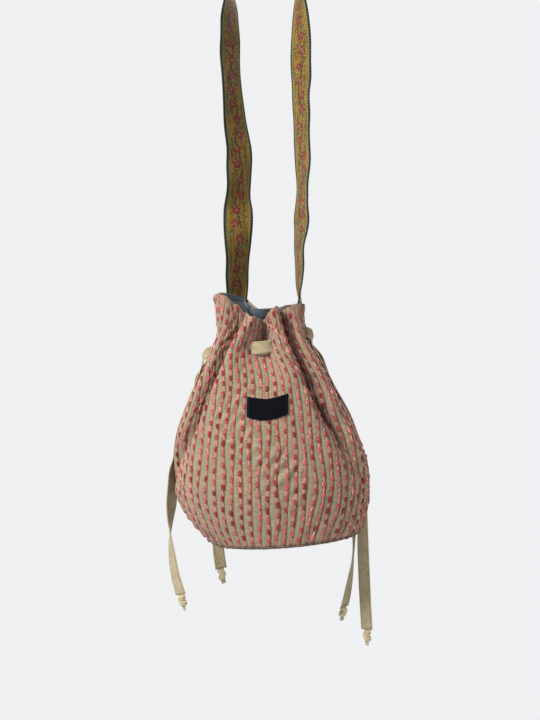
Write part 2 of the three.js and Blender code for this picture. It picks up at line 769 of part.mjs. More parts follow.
// The free tail of each drawstring end, by hand: points of its middle line, from where it comes
// out of the side pleat, with the compass turn of its width (0 across the view, 90 along it) and
// how far the width tips up from level. Each slides down the cloth, hangs clear of the belly and
// turns as it hangs. A face of -1 is the end nearer the front.
const [leftString, rightString] = drawstrings;
const tails = [
  {
    name: "left_front",
    string: leftString,
    face: -1,
    route: [
      [0, 0, 0, 90, 90],
      [-2.4, -0.4, -0.1, 90, 88],
      [-9.6, -3.2, -2, 89, 64],
      [-15, -5.2, -7.2, 89, 32],
      [-16.8, -5.6, -14.5, 90, 8],
      [-20.4, -5, -24.6, 92, 0],
      [-24.8, -4, -36.1, 90, 0],
      [-30.6, -0.1, -49.6, 90, 0],
      [-37.3, 4, -66.1, 88, 0],
      [-42.8, 6, -82.6, 86, 0],
      [-45.6, 8, -97.9, 84, 0],
      [-46.8, 8.9, -111, 82, 0],
      [-49.3, 8.9, -124.4, 66, 0],
      [-49.6, 9.4, -142.3, 46, 0],
      [-50.4, 9.4, -159.1, 40, 0],
      [-51.3, 9.4, -173.8, 64, 0],
      [-51.4, 8.9, -187.4, 90, 0],
      [-50.9, 8.9, -201, 114, 0],
      [-49.5, 8.4, -214.6, 130, 0],
      [-46, 8, -235.4, 142, 0],
      [-40.3, 7, -254.5, 150, 0],
    ],
  },
  {
    name: "left_back",
    string: leftString,
    face: 1,
    route: [
      [0, 0, 0, 90, 90],
      [-2.4, 0.4, -0.1, 90, 88],
      [-6.2, 3.1, -2.8, 88, 62],
      [-11.8, 6, -8, 82, 34],
      [-16.1, 8.8, -15, 75, 10],
      [-22.3, 14.1, -26.7, 68, 0],
      [-23.7, 19.1, -38, 60, 0],
      [-24.6, 25.1, -51, 50, 0],
      [-20, 32, -65.2, 42, 0],
      [-16.5, 38, -80.3, 36, 0],
      [-13, 43, -95.2, 31, 0],
      [-10, 47, -110, 27, 0],
      [-8, 50, -124.7, 25, 0],
      [-7, 51.5, -149.2, 25, 0],
      [-6.1, 51.5, -169, 26, 0],
      [-5.2, 51, -188.8, 27, 0],
      [-4.5, 50.5, -207.5, 26, 0],
      [-2.7, 50, -225, 23, 0],
      [-0.6, 49.5, -238.6, 20, 0],
    ],
  },
  {
    name: "right_back",
    string: rightString,
    face: 1,
    route: [
      [0, 0, 0, 90, 90],
      [2.4, 0.6, -0.1, 90, 89],
      [5.2, 3.2, -2.2, 92, 64],
      [7.6, 5.6, -7.8, 97, 34],
      [11.1, 8.4, -14, 102, 12],
      [17.8, 12.1, -23.3, 107, 2],
      [21.5, 15.1, -33, 112, 0],
      [25.4, 19.1, -44.7, 117, 0],
      [29, 23.1, -58.5, 122, 0],
      [32, 27.1, -73.3, 127, 0],
      [34.4, 30.1, -88.2, 131, 0],
      [38.1, 33, -103.9, 134, 0],
      [43.9, 35, -119.5, 136, 0],
      [47.5, 36, -134.3, 138, 0],
      [50.1, 36, -148.1, 138, 0],
      [57.3, 35.5, -185.7, 128, 0],
      [57.1, 35.5, -202, 112, 0],
      [56.4, 35, -220.3, 96, 0],
      [55.9, 34.5, -237.5, 84, 0],
      [53.1, 34, -260.2, 64, 0],
      [49.5, 33, -280.5, 50, 0],
      [46.4, 32.5, -293.8, 46, 0],
    ],
  },
  {
    name: "right_front",
    string: rightString,
    face: -1,
    route: [
      [0, 0, 0, 90, 90],
      [2.4, -0.6, -0.1, 90, 89],
      [5.7, -3.2, -2.2, 92, 64],
      [7.9, -4.6, -7.6, 93, 34],
      [9.6, -5.8, -14, 92, 12],
      [15, -7, -23.5, 89, 2],
      [20.5, -7, -33.1, 88, 0],
      [26.4, -5, -44.7, 90, 0],
      [33.3, -1.1, -58.2, 92, 0],
      [41.7, 5, -72.6, 94, 0],
      [49.1, 10.9, -87, 99, 0],
      [54.8, 15.9, -102.6, 105, 0],
      [59.5, 18.9, -117.3, 110, 0],
      [62.7, 20.9, -132.1, 114, 0],
      [64.3, 21.9, -146, 117, 0],
      [64.2, 21.4, -176.5, 124, 0],
      [64.3, 21.9, -199, 138, 0],
      [64.7, 21.9, -225.6, 148, 0],
      [65.7, 21.4, -254.2, 152, 0],
      [66.9, 20.4, -283.8, 150, 0],
      [68.5, 19.4, -314.8, 148, 0],
    ],
  },
];

const exitGap = 0.9; // between a drawstring's stretch in the casing and its tail

function tailStations(tail) {
  const { side, lift } = tail.string;
  const exit = new THREE.Vector3(
    side * (exitReach + exitGap),
    tail.face * (tapeThickness / 2 + clearance),
    neckHeight + lift,
  ).applyMatrix4(pouchPlace);
  return tail.route.map(([x, y, z, turned, tip]) => ({
    at: new THREE.Vector3(x, y, z).add(exit),
    wide: new THREE.Vector3(
      Math.cos(turned * RADIANS) * Math.cos(tip * RADIANS),
      Math.sin(turned * RADIANS) * Math.cos(tip * RADIANS),
      Math.sin(tip * RADIANS),
    ),
  }));
}

// Overhand knot drawn tight, with the short cut end below it; it hangs in line with its tail.
// Radius and height down from its middle: two turns of tape with a waist between them.
const knotOutline = [
  [0, -knotHalf],
  [3.4, -knotHalf + 0.8],
  [5.6, -3.2],
  [4.9, -0.4],
  [5.7, 2.6],
  [4.1, 5],
  [2.1, knotHalf],
  [2.6, knotHalf + knotEnd],
  [0, knotHalf + knotEnd + 0.3],
];

function knot(tail) {
  const outline = knotOutline.map(([radius, along]) => new THREE.Vector2(radius, along));
  const geometry = new THREE.LatheGeometry(outline, knotSides);
  const stations = tailStations(tail);
  const last = stations[stations.length - 1].at;
  const along = last.clone().sub(stations[stations.length - 2].at).normalize();
  const upright = new THREE.Vector3(0, 1, 0);
  geometry.scale(1, 1, knotFlatness);
  geometry.applyQuaternion(new THREE.Quaternion().setFromUnitVectors(upright, along));
  const middle = last.clone().addScaledVector(along, knotHalf + clearance);
  geometry.translate(middle.x, middle.y, middle.z);
  return toGeometry(toSolid(geometry));
}

function colour(hex, roughness) {
  return new THREE.MeshStandardMaterial({ color: hex, roughness, metalness: 0 });
}

const stitchedCloth = colour(0xb59a86, 0.95);
const chambray = colour(0x71808d, 0.9);
const khakiTwill = colour(0xb2a580, 0.85);
const navySatin = colour(0x171a26, 0.6);
const floralRibbon = colour(0x8a6a22, 0.8);

const pouch = new THREE.Group();
pouch.applyMatrix4(pouchPlace);
const hanging = new THREE.Group();
hanging.add(pouch);

function add(group, name, geometry, material) {
  const mesh = new THREE.Mesh(geometry, material);
  mesh.name = name;
  group.add(mesh);
}

const slits = drawstrings.flatMap(slotsFor);
add(pouch, "outer_front_panel", without(outerPanel(0), slits), stitchedCloth);
add(pouch, "outer_back_panel", without(outerPanel(columnsPerPanel), slits), stitchedCloth);
add(pouch, "base_panel", basePanel(), stitchedCloth);
add(pouch, "lining_front", liningPanel(0), chambray);
add(pouch, "lining_back", liningPanel(columnsPerPanel), chambray);
add(pouch, "lining_base", liningBase(), chambray);
for (const string of drawstrings) {
  add(pouch, "drawstring_" + string.name, drawstring(string), khakiTwill);
}
add(pouch, "front_label", label(), navySatin);
for (const tail of tails) {
  add(hanging, "tail_" + tail.name, band(tailStations(tail), tapeWidth, tapeThickness), khakiTwill);
  add(hanging, "knot_" + tail.name, knot(tail), khakiTwill);
}
add(hanging, "shoulder_strap", strap(), floralRibbon);

export default hanging;
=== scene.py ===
"""Looks of a stitched drawstring pouch that hangs by its strap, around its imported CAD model.

The cloth is worked out in millimetres in the pouch's own frame, as the CAD solids are, and every
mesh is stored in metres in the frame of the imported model: +Z up, +X right, +Y away from the viewer.
"""

import math
from functools import partialmethod

import bpy
import numpy as np
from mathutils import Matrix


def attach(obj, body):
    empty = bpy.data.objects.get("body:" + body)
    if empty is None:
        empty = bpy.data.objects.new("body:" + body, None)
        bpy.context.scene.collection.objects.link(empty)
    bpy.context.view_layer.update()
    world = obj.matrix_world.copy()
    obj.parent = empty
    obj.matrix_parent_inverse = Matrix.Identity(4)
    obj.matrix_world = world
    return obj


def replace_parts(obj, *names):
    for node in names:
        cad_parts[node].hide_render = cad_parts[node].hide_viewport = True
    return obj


MM = 0.001
CURVE_STEPS = 12  # between two stations of a curve
RNG = np.random.default_rng(11)

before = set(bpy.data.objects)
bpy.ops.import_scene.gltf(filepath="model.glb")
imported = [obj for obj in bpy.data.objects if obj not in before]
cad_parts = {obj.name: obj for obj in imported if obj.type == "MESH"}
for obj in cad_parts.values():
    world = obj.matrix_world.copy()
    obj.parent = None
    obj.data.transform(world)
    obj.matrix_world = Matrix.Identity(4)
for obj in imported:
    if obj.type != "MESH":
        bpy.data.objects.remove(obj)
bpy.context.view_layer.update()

# Sizes of the pouch, as in its CAD source
HANG_HEIGHT = 618.0
BASE_OFFSET = 11.5
LEAN = math.radians(4.5)
BELLY_HEIGHT = 62.0
NECK_HEIGHT = 196.0
RIM_HEIGHT = 221.0
COLLAR_FALL = 12.0
SHOULDER_CURVE = 1.6
SHOULDER_SWING = -3.5
BASE_SWING = 10.4  # how far the base and the rim stand to the right of the belly
BASE_SWING_CURVE = 1.5
RIM_SWING = 2.5
WIDTHS = (77.0, 100.5, 55.5, 48.0)  # half widths at base, belly, neck and rim
DEPTHS = (52.0, 60.0, 37.0, 33.0)
WALL = 1.6
LINING_WALL = 0.8
LINING_SLACK = 0.6
LINING_FREE = 1.5  # level up to which it hangs inside the drawstrings
LINING_TURN = 0.36  # levels over which it then comes to follow the pleats
LINING_START = 0.012  # level of its lower edge
CLEARANCE = 0.3
PANEL_COLUMNS = 28
COLUMN_PITCH = 9.1  # between two columns where the cloth lies flat
FOLD_DEPTH = 21.0
SIDE_PLEAT = 0.9
TAPE_WIDTH = 12.0
TAPE_THICKNESS = 1.3
TAPE_BRIDGE = 10.0
TAPE_TURN = 3.2
TAPE_ROOM = 8.8  # beside the drawstrings, opening over these heights below the neck
ROOM_FROM = 40.0
ROOM_TO = 16.0
RING_POINT = 1.25  # above 1 a drawstring's ring round the neck is pointed to the front
EXIT_REACH = 43.5
EXIT_GAP = 0.9
KNOT_HALF = 6.3
LABEL = (40.0, 20.0, 0.6)
LABEL_MIDDLE = 136.5
PLUMB_LINE = -8.5  # the columns hang plumb below the neck, this far from the base's own middle
PLUMB_FADE = 40.0
LABEL_SAG = 4.2
LABEL_STAND = 0.95  # from the cloth's mean surface to its back
LABEL_WAVE = 0.22
STRAP_WIDTH = 30.0
STRAP_THICKNESS = 1.4
STRAP_SEWN = 10.0
STRAP_SEATS = (-22.0, 14.3)
HANG_RADIUS = 36.0

# Pleats, crest and valley in turn: angle at the rim and at the turn levels; fold, as a share of
# the fold depth, at the rim and at the fold levels; and how pinched the valley is
TURN_LEVELS = (1, 0.638, 0.316)
FOLD_LEVELS = (1, 0.816, 0.638, 0.459, 0.281)  # gone at the last
RIM_PINCH = 1.5
PLEATS = np.array([
    (-156, -156, -152, -146, 0, 0, 0, 0, 0, 1),
    (-114, -136, -130, -132, 0.12, 0.67, 0.57, 0.29, 0.05, 1),
    (-99, -113, -110, -122, 0, 0, 0, 0, 0, 1),
    (-84, -91, -92, -114, 0.2, SIDE_PLEAT, 0.43, 0.1, 0, 1),
    (-62, -63, -72, -104, 0, 0, 0, 0, 0, 1),
    (-24, -44, -53, -92, 0.62, 0.67, 0.67, 0.62, 0.38, 2),
    (-9, -33, -44, -45, 0, 0, 0, 0, 0, 1),
    (3, 5, 2, 0, 0.66, 1, 0.29, 0, 0, 0.7),
    (14, 22, 30, 36, 0, 0, 0, 0, 0, 1),
    (30, 40, 49, 62, 0.52, 0.67, 0.71, 0.64, 0.38, 2.4),
    (50, 60, 65, 79, 0, 0, 0, 0, 0, 1),
    (92, 90, 92, 94, 0.12, SIDE_PLEAT, 0.38, 0.05, 0, 1),
    (120, 114, 112, 108, 0, 0, 0, 0, 0, 1),
    (138, 136, 130, 124, 0.52, 0.67, 0.52, 0.29, 0.05, 1),
    (157, 156, 152, 146, 0, 0, 0, 0, 0, 1),
    (180, 180, 180, 180, 0.6, 1, 0.38, 0.1, 0, 1),
], dtype=float)
RIM_RISE = np.array([
    (-152, 34), (-120, 36), (-90, 33), (-64, 33), (-50, 30), (-36, 20), (-24, 11), (-11, 6),
    (3, 2), (14, 12), (22, 15), (30, 9), (40, 13), (50, 16), (70, 13), (92, 16), (120, 18),
    (150, 17), (180, 16),
], dtype=float)


def add_object(name, data):
    thing = bpy.data.objects.new(name, data)
    bpy.context.scene.collection.objects.link(thing)
    return thing


# Camera of the photograph: level, in front of the pouch
camera_data = bpy.data.cameras.new("photo_camera")
camera = add_object("photo_camera", camera_data)
camera.location = (0.0052, -0.85, -0.435)
camera.rotation_euler = (math.radians(90), 0, 0)
camera_data.lens = 40.87
camera_data.clip_end = 20
bpy.context.scene.camera = camera


def place(points):
    """From the pouch's own frame to the hanging one."""
    points = np.asarray(points, dtype=float)
    x, y, z = points[..., 0], points[..., 1], points[..., 2]
    cos, sin = math.cos(LEAN), math.sin(LEAN)
    return np.stack(
        [BASE_OFFSET + x * cos - z * sin, y, -HANG_HEIGHT + x * sin + z * cos], axis=-1
    )


def unit(vectors):
    return vectors / np.maximum(np.linalg.norm(vectors, axis=-1, keepdims=True), 1e-9)


def ramp(value, low, high):
    share = np.clip((value - low) / (high - low), 0, 1)
    return share * share * (3 - 2 * share)


def mix(a, b, share):
    return a + (b - a) * share


def lengths_along(points):
    """Length from the first row of points to each row."""
    steps = np.linalg.norm(np.diff(points, axis=0), axis=-1)
    return np.concatenate([np.zeros_like(steps[:1]), np.cumsum(steps, axis=0)])


def sample(at, places, rows):
    """Rows of numbers that are known at places, worked out at other ones."""
    return np.stack([np.interp(at, places, column) for column in rows.T], axis=1)


def along_curve(stations, count):
    """Catmull-Rom through rows of numbers, at count places evenly spread along the first three."""
    rows = np.asarray(stations, dtype=float)
    flat = rows.reshape(len(rows), -1)
    padded = np.vstack([2 * flat[0] - flat[1], flat, 2 * flat[-1] - flat[-2]])
    t = np.arange(CURVE_STEPS)[:, None] / CURVE_STEPS
    fine = []
    for p0, p1, p2, p3 in zip(padded, padded[1:], padded[2:], padded[3:]):
        fine.append(0.5 * (2 * p1 + (p2 - p0) * t + (2 * p0 - 5 * p1 + 4 * p2 - p3) * t**2
                           + (3 * p1 - p0 - 3 * p2 + p3) * t**3))
    fine = np.vstack([*fine, flat[-1]])
    length = lengths_along(fine[:, :3])
    wanted = np.linspace(0, length[-1], count)
    return sample(wanted, length, fine).reshape((count,) + rows.shape[1:]), wanted


# Meshes
def make_mesh(name, vertices, faces, material, weave):
    """A smooth mesh from millimetres; weave holds three numbers per vertex for its material."""
    mesh = bpy.data.meshes.new(name)
    mesh.from_pydata((np.reshape(vertices, (-1, 3)) * MM).tolist(), [], faces)
    mesh.polygons.foreach_set("use_smooth", [True] * len(mesh.polygons))
    layer = mesh.attributes.new("weave", "FLOAT_VECTOR", "POINT")
    layer.data.foreach_set("vector", np.asarray(weave, dtype=np.float32).ravel())
    mesh.materials.append(material)
    mesh.update()
    piece = add_object(name, mesh)
    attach(piece, "root")
    return piece


def grid_faces(rows, columns, start=0):
    index = start + np.arange(rows * columns).reshape(rows, columns)
    quads = np.stack([index[:-1, :-1], index[:-1, 1:], index[1:, 1:], index[1:, :-1]], axis=-1)
    return quads.reshape(-1, 4).tolist()


def sheet_mesh(name, points, weave, material):
    return make_mesh(name, points, grid_faces(*points.shape[:2]), material, weave)


def ring_faces(rows, around, start=0):
    """Faces of a skin that closes round a stack of rings, with both ends capped."""
    index = start + np.arange(rows * around).reshape(rows, around)
    right = np.roll(index, -1, axis=1)
    quads = np.stack([index[:-1], right[:-1], right[1:], index[1:]], axis=-1).reshape(-1, 4)
    return quads.tolist() + [index[0][::-1].tolist(), index[-1].tolist()]


def normals_of(points):
    across = np.gradient(points, axis=1)
    up = np.gradient(points, axis=0)
    return unit(np.cross(across, up))


def slab_mesh(name, points, thickness, weave, material):
    """A thick cloth whose middle is a grid of points, its long edges rounded."""
    half = thickness / 2
    lift = normals_of(points) * half
    edge = points[:, -1] + unit(points[:, -1] - points[:, -2]) * half
    first = points[:, 0] + unit(points[:, 0] - points[:, 1]) * half
    rings = np.concatenate(
        [points + lift, edge[:, None], (points - lift)[:, ::-1], first[:, None]], axis=1
    )
    marks = np.concatenate([weave, weave[:, -1:], weave[:, ::-1], weave[:, :1]], axis=1)
    return make_mesh(name, rings, ring_faces(*rings.shape[:2]), material, marks)


def weave_grid(across, along, third=0.0):
    """Weave of a grid: places across the cloth, places along it, and one more number."""
    grids = np.broadcast_arrays(np.asarray(across)[None], np.asarray(along)[:, None], third)
    return np.stack(grids, axis=-1)


# Materials
def add_node(tree, kind, inputs, **settings):
    """A node whose inputs are linked to a Value or a socket, or set to a number or a colour."""
    node = tree.nodes.new("ShaderNode" + kind)
    for setting, choice in settings.items():
        setattr(node, setting, choice)
    for slot, item in inputs.items():
        item = item.socket if isinstance(item, Value) else item
        if isinstance(item, bpy.types.NodeSocket):
            tree.links.new(item, node.inputs[slot])
        else:
            node.inputs[slot].default_value = item
    return node


class Value:
    """A number in a material; arithmetic on it adds Math nodes."""

    def __init__(self, tree, socket):
        self.tree = tree
        self.socket = socket

    def op(self, kind, *others):
        inputs = dict(enumerate((self, *others)))
        return Value(self.tree, add_node(self.tree, "Math", inputs, operation=kind).outputs[0])

    __add__ = partialmethod(op, "ADD")
    __sub__ = partialmethod(op, "SUBTRACT")
    __mul__ = partialmethod(op, "MULTIPLY")
    __truediv__ = partialmethod(op, "DIVIDE")
    abs = partialmethod(op, "ABSOLUTE")
    sin = partialmethod(op, "SINE")

    def wave(self, period):
        return (self * (2 * math.pi / period)).sin()

    def wrapped(self, period):
        """Distance from the nearest multiple of the period, negative below it."""
        return (self / period + 0.5).op("FRACT") * period - period / 2

    def within(self, reach, soft):
        """1 where this number's size is below reach, falling to 0 over soft."""
        return self.abs().between(reach + soft, reach)

    def between(self, low, high):
        """0 at low and 1 at high, eased and held beyond both."""
        inputs = {"Value": self, "From Min": low, "From Max": high}
        node = add_node(self.tree, "MapRange", inputs, interpolation_type="SMOOTHSTEP")
        return Value(self.tree, node.outputs["Result"])


class Cloth:
    """A cloth material that starts from the weave attribute: x across and y along, in mm."""

    def __init__(self, name, roughness, sheen=0.0, specular=0.25):
        self.material = bpy.data.materials.new(name)
        self.material.use_nodes = True
        self.tree = self.material.node_tree
        self.shader = self.tree.nodes["Principled BSDF"]
        for slot, value in (("Roughness", roughness), ("Specular IOR Level", specular),
                            ("Sheen Weight", sheen), ("Sheen Roughness", 0.4)):
            self.shader.inputs[slot].default_value = value
        source = add_node(self.tree, "Attribute", {}, attribute_name="weave")
        self.x, self.y, self.z = self.split(source.outputs["Vector"])

    def split(self, vector):
        parts = add_node(self.tree, "SeparateXYZ", {0: vector}).outputs
        return [Value(self.tree, part) for part in parts]

    def noise(self, x, y, z=0.0, detail=3.0):
        spot = add_node(self.tree, "CombineXYZ", {0: x, 1: y, 2: z}).outputs[0]
        inputs = {"Vector": spot, "Scale": 1.0, "Detail": detail}
        return Value(self.tree, add_node(self.tree, "TexNoise", inputs).outputs["Fac"])

    def cells(self, x, y):
        """Distance to the nearest scattered point, and a number of that point's own."""
        spot = add_node(self.tree, "CombineXYZ", {0: x, 1: y}).outputs[0]
        node = add_node(self.tree, "TexVoronoi", {"Vector": spot, "Scale": 1.0})
        own = self.split(node.outputs["Color"])[0]
        return Value(self.tree, node.outputs["Distance"]), own

    def mix(self, share, first, second):
        """Inputs 0, 6 and 7 of the node and its output 2 are those for colours."""
        inputs = {0: share, 6: first, 7: second}
        return add_node(self.tree, "Mix", inputs, data_type="RGBA").outputs[2]

    def dye(self, share, low, high):
        """The ground: the screen colour low where share is 0, and high where it is 1."""
        self.colour = self.mix(share, rgb(*low), rgb(*high))

    def paint(self, share, *screen):
        """Lay a screen colour over the others where share is 1."""
        self.colour = self.mix(share, self.colour, rgb(*screen))

    def sink(self, share, *screen):
        """Lay a screen colour into the hollows, where share is 0."""
        self.colour = self.mix(share, rgb(*screen), self.colour)

    def finish(self, height, depth_mm):
        inputs = {"Strength": 1.0, "Distance": depth_mm * MM, "Height": height}
        bump = add_node(self.tree, "Bump", inputs)
        self.tree.links.new(self.colour, self.shader.inputs["Base Color"])
        self.tree.links.new(bump.outputs["Normal"], self.shader.inputs["Normal"])
        return self.material


def rgb(*screen):
    """Linear colour from the numbers of a screen colour, 0 to 255."""
    return (*((channel / 255) ** 2.2 for channel in screen), 1)


def khaki_twill():
    cloth = Cloth("khaki_twill", 0.8, 0.15)
    diagonal = (cloth.x + cloth.y).wave(1.3)
    yarn = (cloth.x - cloth.y).wave(0.55)
    mottle = cloth.noise(cloth.x * 0.25, cloth.y * 0.12)
    cloth.dye(mottle.between(0.3, 0.7), (176, 160, 124), (203, 191, 158))
    cloth.sink(diagonal.between(-1.0, 0.9), 146, 130, 96)
    selvedge = (cloth.x.abs() - 5.3).within(0.22, 0.25) * 0.45
    cloth.paint(selvedge, 132, 117, 84)
    return cloth.finish(diagonal * 0.6 + yarn * 0.25 + mottle * 0.5, 0.3)


def knot_cloth():
    cloth = Cloth("khaki_knot", 0.85, 0.15)
    diagonal = (cloth.x + cloth.y).wave(1.1)
    mottle = cloth.noise(cloth.x * 0.3, cloth.y * 0.3, cloth.z)
    cloth.dye(mottle.between(0.3, 0.7), (186, 171, 136), (216, 205, 174))
    cloth.sink(diagonal.between(-1.0, 0.6), 150, 133, 98)
    return cloth.finish(diagonal * 0.6 + mottle, 0.3)


# Cords: the free tails of the two drawstrings, each by its CAD route from where it comes out
TAILS = {
    "left_front": (-1, -1, [
        (0, 0, 0, 90, 90), (-2.4, -0.4, -0.1, 90, 88), (-9.6, -3.2, -2, 89, 64),
        (-15, -5.2, -7.2, 89, 32), (-16.8, -5.6, -14.5, 90, 8), (-20.4, -5, -24.6, 92, 0),
        (-24.8, -4, -36.1, 90, 0), (-30.6, -0.1, -49.6, 90, 0), (-37.3, 4, -66.1, 88, 0),
        (-42.8, 6, -82.6, 86, 0), (-45.6, 8, -97.9, 84, 0), (-46.8, 8.9, -111, 82, 0),
        (-49.3, 8.9, -124.4, 66, 0), (-49.6, 9.4, -142.3, 46, 0), (-50.4, 9.4, -159.1, 40, 0),
        (-51.3, 9.4, -173.8, 64, 0), (-51.4, 8.9, -187.4, 90, 0), (-50.9, 8.9, -201, 114, 0),
        (-49.5, 8.4, -214.6, 130, 0), (-46, 8, -235.4, 142, 0), (-40.3, 7, -254.5, 150, 0),
    ]),
    "left_back": (-1, 1, [
        (0, 0, 0, 90, 90), (-2.4, 0.4, -0.1, 90, 88), (-6.2, 3.1, -2.8, 88, 62),
        (-11.8, 6, -8, 82, 34), (-16.1, 8.8, -15, 75, 10), (-22.3, 14.1, -26.7, 68, 0),
        (-23.7, 19.1, -38, 60, 0), (-24.6, 25.1, -51, 50, 0), (-20, 32, -65.2, 42, 0),
        (-16.5, 38, -80.3, 36, 0), (-13, 43, -95.2, 31, 0), (-10, 47, -110, 27, 0),
        (-8, 50, -124.7, 25, 0), (-7, 51.5, -149.2, 25, 0), (-6.1, 51.5, -169, 26, 0),
        (-5.2, 51, -188.8, 27, 0), (-4.5, 50.5, -207.5, 26, 0), (-2.7, 50, -225, 23, 0),
        (-0.6, 49.5, -238.6, 20, 0),
    ]),
    "right_back": (1, 1, [
        (0, 0, 0, 90, 90), (2.4, 0.6, -0.1, 90, 89), (5.2, 3.2, -2.2, 92, 64),
        (7.6, 5.6, -7.8, 97, 34), (11.1, 8.4, -14, 102, 12), (17.8, 12.1, -23.3, 107, 2),
        (21.5, 15.1, -33, 112, 0), (25.4, 19.1, -44.7, 117, 0), (29, 23.1, -58.5, 122, 0),
        (32, 27.1, -73.3, 127, 0), (34.4, 30.1, -88.2, 131, 0), (38.1, 33, -103.9, 134, 0),
        (43.9, 35, -119.5, 136, 0), (47.5, 36, -134.3, 138, 0), (50.1, 36, -148.1, 138, 0),
        (57.3, 35.5, -185.7, 128, 0), (57.1, 35.5, -202, 112, 0), (56.4, 35, -220.3, 96, 0),
        (55.9, 34.5, -237.5, 84, 0), (53.1, 34, -260.2, 64, 0), (49.5, 33, -280.5, 50, 0),
        (46.4, 32.5, -293.8, 46, 0),
    ]),
    "right_front": (1, -1, [
        (0, 0, 0, 90, 90), (2.4, -0.6, -0.1, 90, 89), (5.7, -3.2, -2.2, 92, 64),
        (7.9, -4.6, -7.6, 93, 34), (9.6, -5.8, -14, 92, 12), (15, -7, -23.5, 89, 2),
        (20.5, -7, -33.1, 88, 0), (26.4, -5, -44.7, 90, 0), (33.3, -1.1, -58.2, 92, 0),
        (41.7, 5, -72.6, 94, 0), (49.1, 10.9, -87, 99, 0), (54.8, 15.9, -102.6, 105, 0),
        (59.5, 18.9, -117.3, 110, 0), (62.7, 20.9, -132.1, 114, 0), (64.3, 21.9, -146, 117, 0),
        (64.2, 21.4, -176.5, 124, 0), (64.3, 21.9, -199, 138, 0), (64.7, 21.9, -225.6, 148, 0),
        (65.7, 21.4, -254.2, 152, 0), (66.9, 20.4, -283.8, 150, 0), (68.5, 19.4, -314.8, 148, 0),
    ]),
}
RIGHT_LIFT = TAPE_WIDTH + 2 * CLEARANCE
TAPE_ACROSS = TAPE_WIDTH * np.linspace(-0.5, 0.5, 9)


def ribbon_grid(centres, wide, across):
    """Points across a flat band along a line, and the way that its face looks."""
    tangent = unit(np.gradient(centres, axis=0))
    wide = unit(wide - tangent * np.sum(wide * tangent, axis=1, keepdims=True))
    return centres[:, None] + wide[:, None] * across[None, :, None], np.cross(tangent, wide)


def tape_mesh(name, centres, wide, cup, along, third):
    """A tape along a line, cupped a little across its width."""
    bow = cup * (4 * (TAPE_ACROSS / TAPE_WIDTH) ** 2 - 0.35)
    grid, facing = ribbon_grid(centres, wide, TAPE_ACROSS)
    grid = grid + facing[:, None] * bow[None, :, None]
    piece = slab_mesh(name, grid, TAPE_THICKNESS, weave_grid(TAPE_ACROSS, along, third), TWILL)
    return piece


def tail_stations(name):
    side, face, route = TAILS[name]
    lift = RIGHT_LIFT if side > 0 else 0.0
    exit_point = place([side * (EXIT_REACH + EXIT_GAP), face * (TAPE_THICKNESS / 2 + CLEARANCE),
                        NECK_HEIGHT + lift])
    rows = []
    for x, y, z, turned, tip in route:
        turned, tip = math.radians(turned), math.radians(tip)
        wide = (math.cos(turned) * math.cos(tip), math.sin(turned) * math.cos(tip), math.sin(tip))
        rows.append([exit_point + (x, y, z), wide])
    return np.array(rows)


def knot_mesh(name, start, along, wide, material):
    """Overhand knot drawn tight: two crossing wraps of tape round a core, and a flared cut end."""
    facing = np.cross(along, wide)
    middle = start + along * (KNOT_HALF + CLEARANCE)
    vertices, marks, faces = [], [], []
    turns = np.linspace(0, 2 * math.pi, 12, endpoint=False)

    def add_strand(line, half_wide, half_thick, flat):
        faces.extend(ring_faces(len(line), len(turns), len(vertices)))
        for i, (point, direction) in enumerate(zip(line, unit(np.gradient(line, axis=0)))):
            across = unit(flat - direction * np.dot(flat, direction))
            out = np.cross(direction, across)
            share = i / (len(line) - 1)
            swell = half_wide * (1 + 0.08 * math.sin(9 * share))
            for t in turns:
                vertices.append(point + across * swell * math.cos(t) + out * half_thick * math.sin(t))
                marks.append((half_wide * math.cos(t), 14 * share, share))

    for tilt, low, radius in ((0.5, -2.4, 3.1), (-0.55, 1.7, 3.0)):
        angle = np.linspace(0, 2 * math.pi, 29)
        line = (middle + np.outer(np.cos(angle) * radius, wide)
                + np.outer(np.sin(angle) * radius * 0.8, facing)
                + np.outer(low + tilt * radius * np.cos(angle) * 0.9, along))
        add_strand(line, 2.5, 1.5, along)
    core = middle + np.outer(np.linspace(-KNOT_HALF - 0.4, KNOT_HALF - 0.8, 9), along)
    add_strand(core, 2.9, 2.0, wide)
    slope = np.linspace(0, 1, 9)
    tail = middle + np.outer(3.0 + 6.6 * slope, along) + np.outer(1.0 * slope**2, wide)
    add_strand(tail, 2.5, 0.9, wide * 0.9 + facing * 0.3)
    return make_mesh(name, vertices, faces, material, marks)


TWILL = khaki_twill()
KNOT = knot_cloth()
for number, name in enumerate(TAILS):
    stations = tail_stations(name)
    fine, along = along_curve(stations, 110)
    centres, wide = fine[:, 0], fine[:, 1]
    tail = tape_mesh("tape_tail_" + name, centres, wide, 0.5, along, number)
    last = unit(centres[-1] - centres[-2])
    turned = unit(wide[-1] - last * np.dot(wide[-1], last))
    knot = knot_mesh("tape_knot_" + name, centres[-1], last, turned, KNOT)
    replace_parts(tail, "tail_" + name)
    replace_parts(knot, "knot_" + name)


# The cloth of the pouch, as a function of a column round it and a level up it
def neighbours(angles, at):
    """The stations before and after each angle round the pouch, and the eased share between."""
    knots = np.concatenate([[at[-1] - 360], at])
    turned = (np.asarray(angles) - knots[0]) % 360 + knots[0]
    after = np.clip(np.searchsorted(knots, turned, side="right"), 1, len(at))
    share = (turned - knots[after - 1]) / (knots[after] - knots[after - 1])
    return after - 2, after - 1, (1 - np.cos(np.pi * share)) / 2


